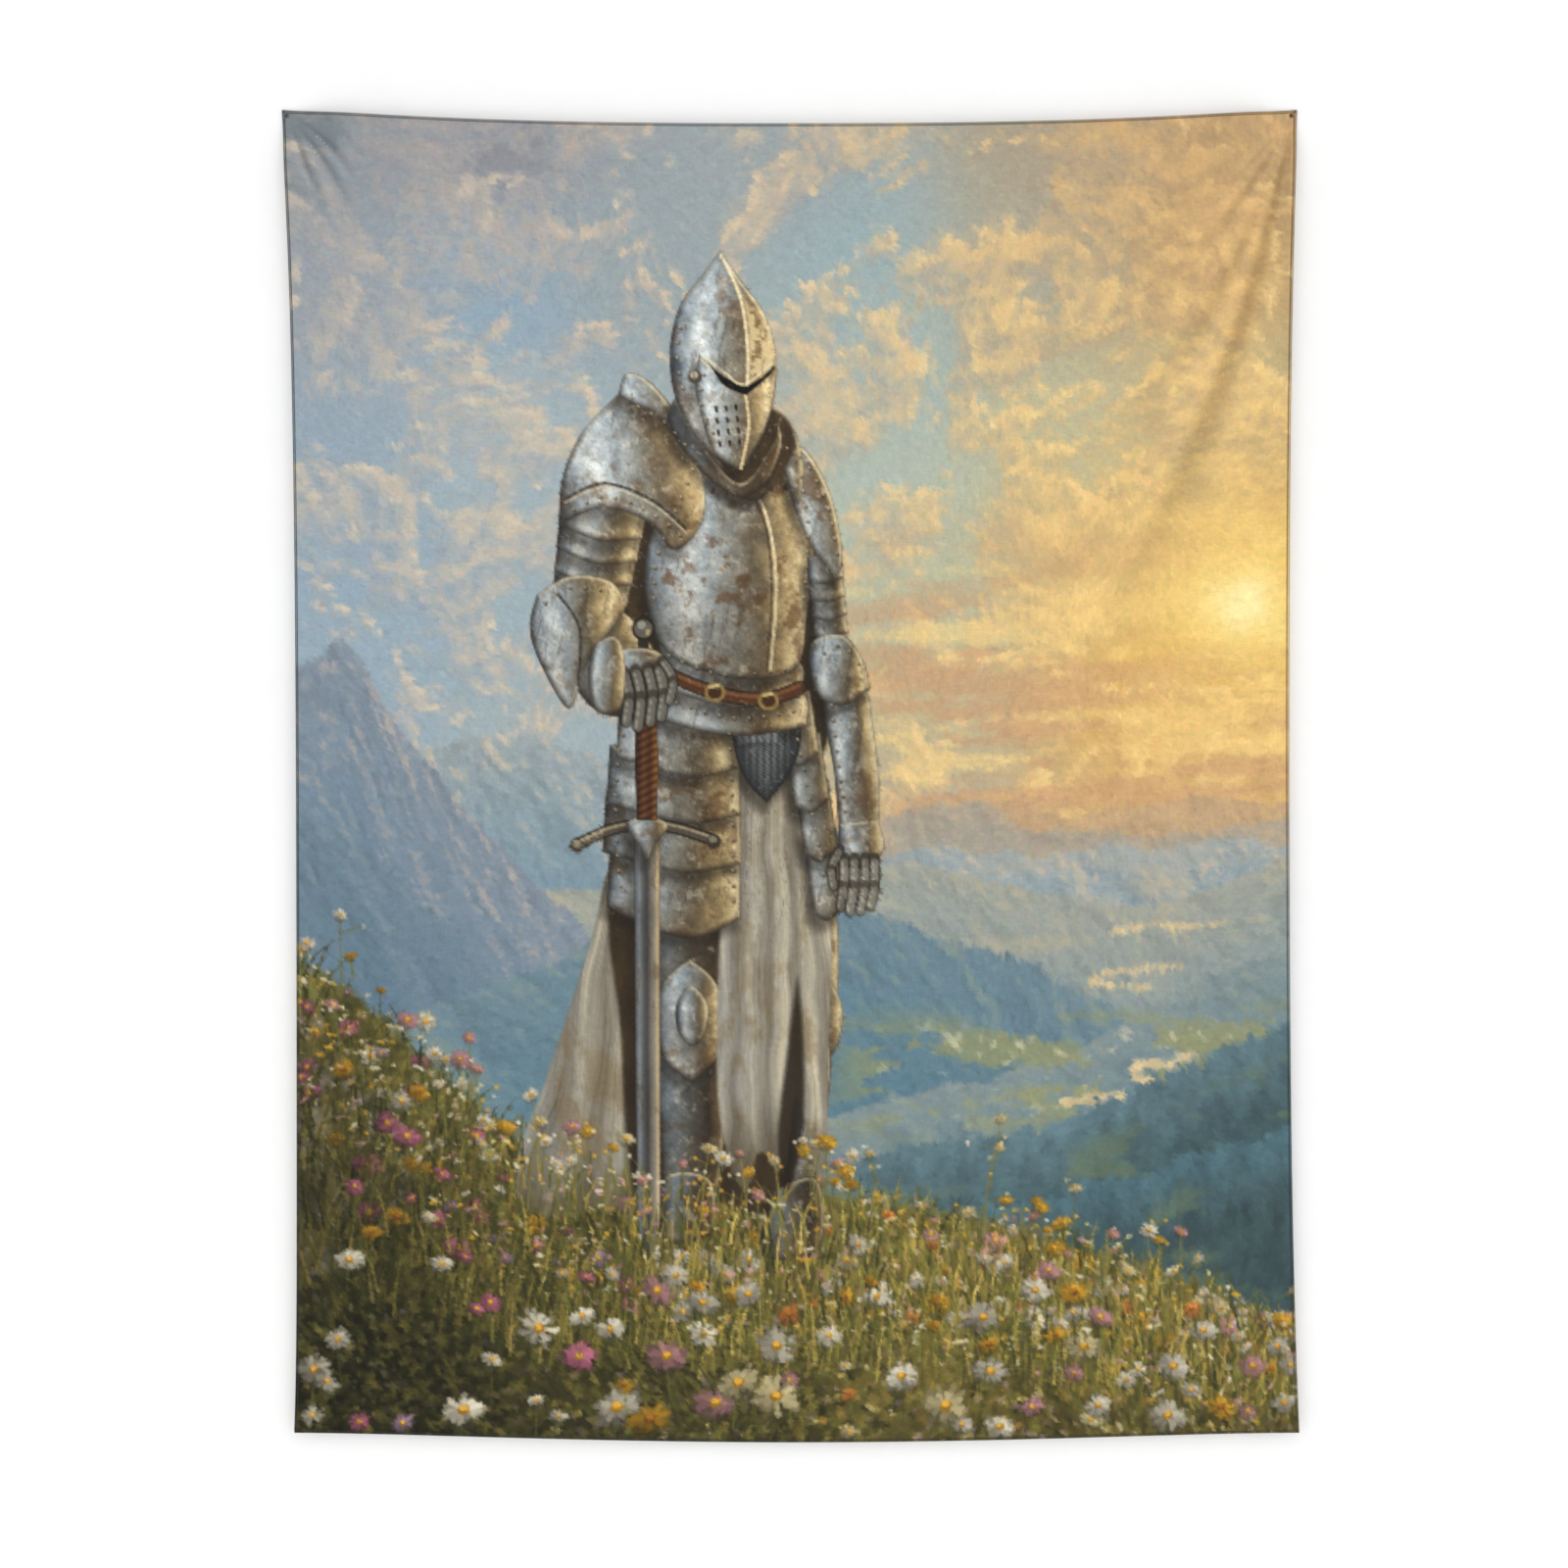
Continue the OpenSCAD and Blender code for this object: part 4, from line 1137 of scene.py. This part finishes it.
def tube(path, radius):
    """Places and faces of a tube of thread along a path."""
    sides = 5
    ahead = np.gradient(path, axis=0)
    ahead /= np.linalg.norm(ahead, axis=1, keepdims=True)
    across = np.cross(ahead, np.array([0.31, 0.87, 0.38]))
    across /= np.linalg.norm(across, axis=1, keepdims=True)
    upward = np.cross(ahead, across)
    turn = np.arange(sides) * 2 * np.pi / sides
    ring = np.cos(turn)[None, :, None] * across[:, None] + np.sin(turn)[None, :, None] * upward[:, None]
    places = (path[:, None] + radius * ring).reshape(-1, 3)
    n = np.arange(len(places)).reshape(len(path), sides)
    a, b = n[:-1], n[1:]
    quads = np.stack([a, np.roll(a, -1, 1), np.roll(b, -1, 1), b], -1).reshape(-1, 4)
    return places, quads, n[:1, ::-1], n[-1:]


def tubes_object(name, paths, radius, material):
    """One object of several threads."""
    places, quads, caps, count = [], [], [], 0
    for path in paths:
        p, q, start, end = tube(path, radius)
        places.append(p)
        quads.append(q + count)
        caps += [start + count, end + count]
        count += len(p)
    return mesh_object(name, np.concatenate(places), [np.concatenate(quads), np.concatenate(caps)],
                       [material])


# ---- materials ----
def new_material(name):
    """A material, its nodes and links, and its shader."""
    material = bpy.data.materials.new(name)
    material.use_nodes = True
    nodes = material.node_tree.nodes
    return material, nodes, material.node_tree.links, nodes["Principled BSDF"]


def math(nodes, links, kind, a, b=None):
    """A sum on one or two values, each a number or a socket."""
    node = nodes.new("ShaderNodeMath")
    node.operation = kind
    for socket, value in zip(node.inputs, (a, b)):
        if value is None:
            continue
        if isinstance(value, (int, float)):
            socket.default_value = value
        else:
            links.new(value, socket)
    return node.outputs[0]


def noise_node(nodes, links, scale, detail=3.0, stretch=(1, 1, 1)):
    """Noise in the object's own metres."""
    where = nodes.new("ShaderNodeTexCoord")
    shape = nodes.new("ShaderNodeMapping")
    shape.inputs["Scale"].default_value = stretch
    links.new(where.outputs["Object"], shape.inputs["Vector"])
    node = nodes.new("ShaderNodeTexNoise")
    node.inputs["Scale"].default_value = scale
    node.inputs["Detail"].default_value = detail
    links.new(shape.outputs["Vector"], node.inputs["Vector"])
    return node.outputs["Fac"]


def remap(nodes, links, value, low, high):
    """Noise, most of which is from 0.3 to 0.7, spread from low to high."""
    node = nodes.new("ShaderNodeMapRange")
    links.new(value, node.inputs["Value"])
    node.inputs["From Min"].default_value = 0.3
    node.inputs["From Max"].default_value = 0.7
    node.inputs["To Min"].default_value = low
    node.inputs["To Max"].default_value = high
    return node.outputs["Result"]


def mix_colour(nodes, links, kind, amount, a, b):
    """Two colours, each a value or a socket, mixed by amount."""
    node = nodes.new("ShaderNodeMix")
    node.data_type = "RGBA"
    node.blend_type = kind
    for socket, value in ((node.inputs["Factor"], amount), (node.inputs["A"], a), (node.inputs["B"], b)):
        if isinstance(value, (int, float)):
            socket.default_value = value
        elif isinstance(value, tuple):
            socket.default_value = (*value, 1)
        else:
            links.new(value, socket)
    return node.outputs["Result"]


def weave(nodes, links, pitch):
    """Height of a plain weave, 0 to 1: warp and weft threads that pass over each other in turn."""
    where = nodes.new("ShaderNodeTexCoord")
    split = nodes.new("ShaderNodeSeparateXYZ")
    links.new(where.outputs["Object"], split.inputs["Vector"])
    x = math(nodes, links, "MULTIPLY", split.outputs["X"], np.pi / pitch)
    z = math(nodes, links, "MULTIPLY", split.outputs["Z"], np.pi / pitch)
    over = math(nodes, links, "MULTIPLY", math(nodes, links, "SINE", x), math(nodes, links, "SINE", z))
    return math(nodes, links, "MULTIPLY_ADD", over, 0.5)


def bumped(nodes, links, shader, height, distance, strength=1.0):
    """Gives a shader the relief of a height."""
    bump = nodes.new("ShaderNodeBump")
    bump.inputs["Distance"].default_value = distance
    bump.inputs["Strength"].default_value = strength
    links.new(height, bump.inputs["Height"])
    links.new(bump.outputs["Normal"], shader.inputs["Normal"])


THREAD_PITCH = 0.75 * MM      # from one thread of the weave to the next
UNPRINTED = (0.78, 0.76, 0.72)


def cloth_material(name, faded):
    """Woven polyester with the print, which is faded by that much into the cloth's own pale ground."""
    material, nodes, links, shader = new_material(name)
    picture = nodes.new("ShaderNodeVertexColor")
    picture.layer_name = "print"
    colour = picture.outputs["Color"]
    if faded:
        colour = mix_colour(nodes, links, "MIX", faded, colour, UNPRINTED)
    slub = noise_node(nodes, links, 900, 3, (1, 1, 0.22))
    slub_across = noise_node(nodes, links, 900, 3, (0.22, 1, 1))
    threads = math(nodes, links, "ADD", slub, slub_across)
    shade = remap(nodes, links, math(nodes, links, "MULTIPLY", threads, 0.5), 0.93, 1.07)
    grey = nodes.new("ShaderNodeCombineColor")
    for channel in ("Red", "Green", "Blue"):
        links.new(shade, grey.inputs[channel])
    colour = mix_colour(nodes, links, "MULTIPLY", 1.0, colour, grey.outputs["Color"])
    links.new(colour, shader.inputs["Base Color"])
    links.new(remap(nodes, links, noise_node(nodes, links, 240), 0.74, 0.9), shader.inputs["Roughness"])
    shader.inputs["Specular IOR Level"].default_value = 0.2
    shader.inputs["Sheen Weight"].default_value = 0.06
    shader.inputs["Sheen Roughness"].default_value = 0.5
    height = math(nodes, links, "ADD", weave(nodes, links, THREAD_PITCH), threads)
    bumped(nodes, links, shader, height, 0.05 * MM, 0.6)
    return material


def thread_material():
    """Dark spun polyester thread, a little fuzzy."""
    material, nodes, links, shader = new_material("edge_thread")
    fuzz = noise_node(nodes, links, 1600, 4)
    colour = mix_colour(nodes, links, "MIX", remap(nodes, links, fuzz, 0, 1), (0.012, 0.012, 0.013),
                        (0.05, 0.048, 0.045))
    links.new(colour, shader.inputs["Base Color"])
    links.new(remap(nodes, links, fuzz, 0.6, 0.85), shader.inputs["Roughness"])
    shader.inputs["Sheen Weight"].default_value = 0.15
    bumped(nodes, links, shader, noise_node(nodes, links, 3200, 2, (1, 1, 0.4)), 0.06 * MM)
    return material


def steel_material():
    """Blackened pin steel, drawn along its length, with a few paler handling marks."""
    material, nodes, links, shader = new_material("pin_steel_worn")
    drawn = noise_node(nodes, links, 2600, 4, (1, 0.06, 1))
    marks = noise_node(nodes, links, 700, 3)
    colour = mix_colour(nodes, links, "MIX", remap(nodes, links, marks, 0, 1), (0.16, 0.155, 0.15),
                        (0.07, 0.068, 0.066))
    links.new(colour, shader.inputs["Base Color"])
    shader.inputs["Metallic"].default_value = 1.0
    links.new(remap(nodes, links, drawn, 0.2, 0.42), shader.inputs["Roughness"])
    bumped(nodes, links, shader, drawn, 0.01 * MM, 0.5)
    return material


def studio_material(name, colour, see_through_back=False):
    """Plain pale paint with a faint roller texture. The wall's lets the object be seen from behind."""
    material, nodes, links, shader = new_material(name)
    mottle = noise_node(nodes, links, 60, 4)
    tone = mix_colour(nodes, links, "MIX", remap(nodes, links, mottle, 0, 1), colour,
                      tuple(0.985 * c for c in colour))
    links.new(tone, shader.inputs["Base Color"])
    shader.inputs["Roughness"].default_value = 0.9
    shader.inputs["Specular IOR Level"].default_value = 0.1
    if see_through_back:
        clear = nodes.new("ShaderNodeBsdfTransparent")
        facing = nodes.new("ShaderNodeNewGeometry")
        either = nodes.new("ShaderNodeMixShader")
        links.new(facing.outputs["Backfacing"], either.inputs["Fac"])
        links.new(shader.outputs["BSDF"], either.inputs[1])
        links.new(clear.outputs["BSDF"], either.inputs[2])
        links.new(either.outputs["Shader"], nodes["Material Output"].inputs["Surface"])
    return material


# ---- camera, room and light ----
def set_camera():
    """Square on to the hanging, as far off as a portrait lens needs for the photograph's field of view."""
    field_width, middle_x, middle_z = 1.129, -0.0039, -0.481
    lens = bpy.data.cameras.new("camera")
    lens.lens = 85
    lens.sensor_width = 36
    camera = bpy.data.objects.new("camera", lens)
    camera.location = (middle_x, -field_width * lens.lens / lens.sensor_width, middle_z)
    camera.rotation_euler = (np.pi / 2, 0, 0)
    scene.collection.objects.link(camera)
    scene.camera = camera
    scene.view_settings.view_transform = "Standard"


def stage_plane(name, size, at, turn, material):
    """A square that belongs to the room and not to the object."""
    half = size / 2
    corners = [(-half, -half, 0), (half, -half, 0), (half, half, 0), (-half, half, 0)]
    plane = mesh_object(name, np.array(corners), [np.array([[0, 1, 2, 3]])], [material])
    plane.location = at
    plane.rotation_euler = turn
    return plane


def build_room():
    """Makes and returns the wall and the floor."""
    room_w, floor_z, wall_middle_z = 7, -1.7, 0.4
    white, pale = (0.975, 0.975, 0.975), (0.78, 0.78, 0.775)
    wall = stage_plane("wall", room_w, (0, 0, wall_middle_z), (np.pi / 2, 0, 0),
                       studio_material("wall_paint", white, see_through_back=True))
    floor = stage_plane("floor", room_w, (0, 0, floor_z), (0, 0, 0), studio_material("floor_paint", pale))
    return wall, floor


def add_sun(name, direction, strength, softness):
    """A sun that shines from a direction."""
    light = bpy.data.lights.new(name, "SUN")
    light.energy = strength
    light.angle = softness
    sun = bpy.data.objects.new(name, light)
    sun.rotation_euler = Vector(direction).to_track_quat("Z", "Y").to_euler()
    scene.collection.objects.link(sun)
    return sun


def link_light(sun, role, obj, state):
    """Says whether an object is the only one, INCLUDE, or the one that isn't, EXCLUDE, in a light's role."""
    group = bpy.data.collections.new(f"{sun.name}_{role}")
    group.objects.link(obj)
    group.collection_objects[0].light_linking.link_state = state
    setattr(sun.light_linking, f"{role}_collection", group)


def light_room(wall, floor):
    """Even light; a sun from the right that models the folds; a broad one from the front that gives the wall
    the same soft shadow all round the cloth; and one behind the wall, for the cloth's back."""
    world = bpy.data.worlds.new("studio")
    world.use_nodes = True
    background = world.node_tree.nodes["Background"]
    background.inputs["Color"].default_value = (1, 1, 1, 1)
    background.inputs["Strength"].default_value = 0.56
    scene.world = world
    key = add_sun("key", (0.68, -0.70, 0.20), strength=1.95, softness=0.9)
    wash = add_sun("wash", (0, -1, 0), strength=1.4, softness=2.5)
    behind = add_sun("behind", (0.2, 0.9, 0.35), strength=0.9, softness=0.6)
    link_light(key, "receiver", wall, "EXCLUDE")
    link_light(wash, "receiver", wall, "INCLUDE")
    link_light(wash, "blocker", floor, "EXCLUDE")
    link_light(behind, "blocker", wall, "EXCLUDE")


# ---- the pieces ----
HOLE_HALF = 0.85 * MM     # a pin's hole is a small square as wide as its shoulder
PRINT_ACROSS, PRINT_DOWN = 621, 807     # points of the cloth's grid, which carry the print
HEM_ACROSS, HEM_DOWN, HEM_CELLS = 486, 632, 4   # cells of a hem across, down and over its width


def to_linear(display):
    """Display colours as the linear ones that a colour attribute holds."""
    display = np.clip(display, 0, 1)
    return np.where(display < 0.04045, display / 12.92, ((display + 0.055) / 1.055) ** 2.4)


def make_cloth(picture):
    """The printed sheet, its picture a colour attribute of its points."""
    u, v = np.meshgrid(np.linspace(0, 1, PRINT_ACROSS), np.linspace(0, 1, PRINT_DOWN))
    cloth = shell("hung_cloth", u, v, front_depth(u, v), CLOTH_T,
                  [cloth_material("printed_face", 0), cloth_material("unprinted_back", 0.8)],
                  picture, coarse=2, holes=(-PIN_X, PIN_X))
    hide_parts("printed_cloth")
    return cloth


def make_hem(name, node, u_range, v_range, cells, picture, material, holes=()):
    """A turned edge: a strip behind the cloth, whose printed side faces the wall."""
    u, v = np.meshgrid(np.linspace(*u_range, cells[0] + 1), np.linspace(*v_range, cells[1] + 1))
    front = front_depth(u, v) - CLOTH_T - LAYER_GAP
    rows = np.clip((v * (PRINT_DOWN - 1)).round().astype(int), 0, PRINT_DOWN - 1)
    cols = np.clip((u * (PRINT_ACROSS - 1)).round().astype(int), 0, PRINT_ACROSS - 1)
    hem = shell(name, u, v, front, CLOTH_T - LAYER_GAP, [material], picture[rows, cols], holes=holes)
    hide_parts(node)
    return hem


def make_hems(picture):
    """The four turned edges. The top and bottom ones run the whole way across."""
    material = cloth_material("turned_edge", 0.12)
    du, dv = HEM_W / CLOTH_W, HEM_W / CLOTH_H
    wide, tall = (HEM_ACROSS, HEM_CELLS), (HEM_CELLS, HEM_DOWN)
    pins = (-PIN_X, PIN_X)
    return [
        make_hem("folded_top_hem", "top_hem", (0, 1), (0, dv), wide, picture, material, pins),
        make_hem("folded_bottom_hem", "bottom_hem", (0, 1), (1 - dv, 1), wide, picture, material),
        make_hem("folded_left_hem", "left_hem", (0, du), (dv, 1 - dv), tall, picture, material),
        make_hem("folded_right_hem", "right_hem", (1 - du, 1), (dv, 1 - dv), tall, picture, material),
    ]


STITCH = 1.5 * MM        # from one turn of the overlock to the next
THREAD_R = 0.15 * MM
WIND_STEPS, LOCK_STEPS = 12, 4     # straight lengths to a stitch, of the winding thread and of the other two


def overlock(edge, length):
    """Paths of one edge's threads: the thread that winds round the edge, and the two that it locks with."""
    def at(along, inward, depth):
        """Places that far in from the edge and in front of the middle of the two layers."""
        along = np.clip(along, 0, 1)
        if edge in ("top", "bottom"):
            off = np.clip(inward / CLOTH_H, 0, 1)
            u, v = along, off if edge == "top" else 1 - off
        else:
            off = np.clip(inward / CLOTH_W, 0, 1)
            u, v = off if edge == "left" else 1 - off, along
        x, z = place(u, v)
        past = np.minimum(inward, 0)
        x = x + {"left": past, "right": -past}.get(edge, 0)
        z = z + {"top": -past, "bottom": past}.get(edge, 0)
        middle = front_depth(u, v) - CLOTH_T
        return np.stack([x, -(middle + depth), z], -1)

    turns = int(length / STITCH)
    t = np.linspace(0, turns, turns * WIND_STEPS + 1)
    wind = 2 * np.pi * t
    reach, lift = (THREAD_W + 0.2 * MM) / 2, CLOTH_T + THREAD_R
    wobble = 0.12 * MM * np.sin(t * 2.3) * np.sin(t * 0.37)
    inward = THREAD_W / 2 - 0.1 * MM + reach * np.sign(np.cos(wind)) * np.abs(np.cos(wind)) ** 0.6 + wobble
    depth = lift * np.sign(np.sin(wind)) * np.abs(np.sin(wind)) ** 0.5
    winding = at((t + 0.25 * np.sin(wind)) / turns, inward, depth)
    s = np.linspace(0, turns, turns * LOCK_STEPS + 1)
    zigzag = np.abs((s * 2) % 2 - 1)
    inner = at(s / turns, THREAD_W + 0.05 * MM - 0.35 * MM * zigzag, lift + 0.1 * MM + 0 * s)
    outer = at(s / turns, -0.22 * MM + 0 * s, 0.35 * MM * np.cos(np.pi * s))
    return [winding, inner, outer]


def make_threads():
    """The overlock stitching of the four edges."""
    material = thread_material()
    pieces = []
    for edge, length in (("top", CLOTH_W), ("bottom", CLOTH_W), ("left", CLOTH_H), ("right", CLOTH_H)):
        thread = tubes_object(f"overlocked_{edge}_edge", overlock(edge, length), THREAD_R, material)
        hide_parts(f"{edge}_edge_thread")
        pieces.append(thread)
    return pieces


def finish_pins():
    """Gives the pins of the CAD model their steel."""
    steel = steel_material()
    pins = [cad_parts[name] for name in ("left_corner_pin", "right_corner_pin")]
    for pin in pins:
        for slot in pin.material_slots:
            slot.material = steel
    return pins


set_camera()
light_room(*build_room())
picture = to_linear(paint(PRINT_ACROSS, PRINT_DOWN).rgb)
cloth = make_cloth(picture)
hems = make_hems(picture)
threads = make_threads()
pins = finish_pins()
for piece in (cloth, *hems, *threads):
    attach(piece, "cloth")
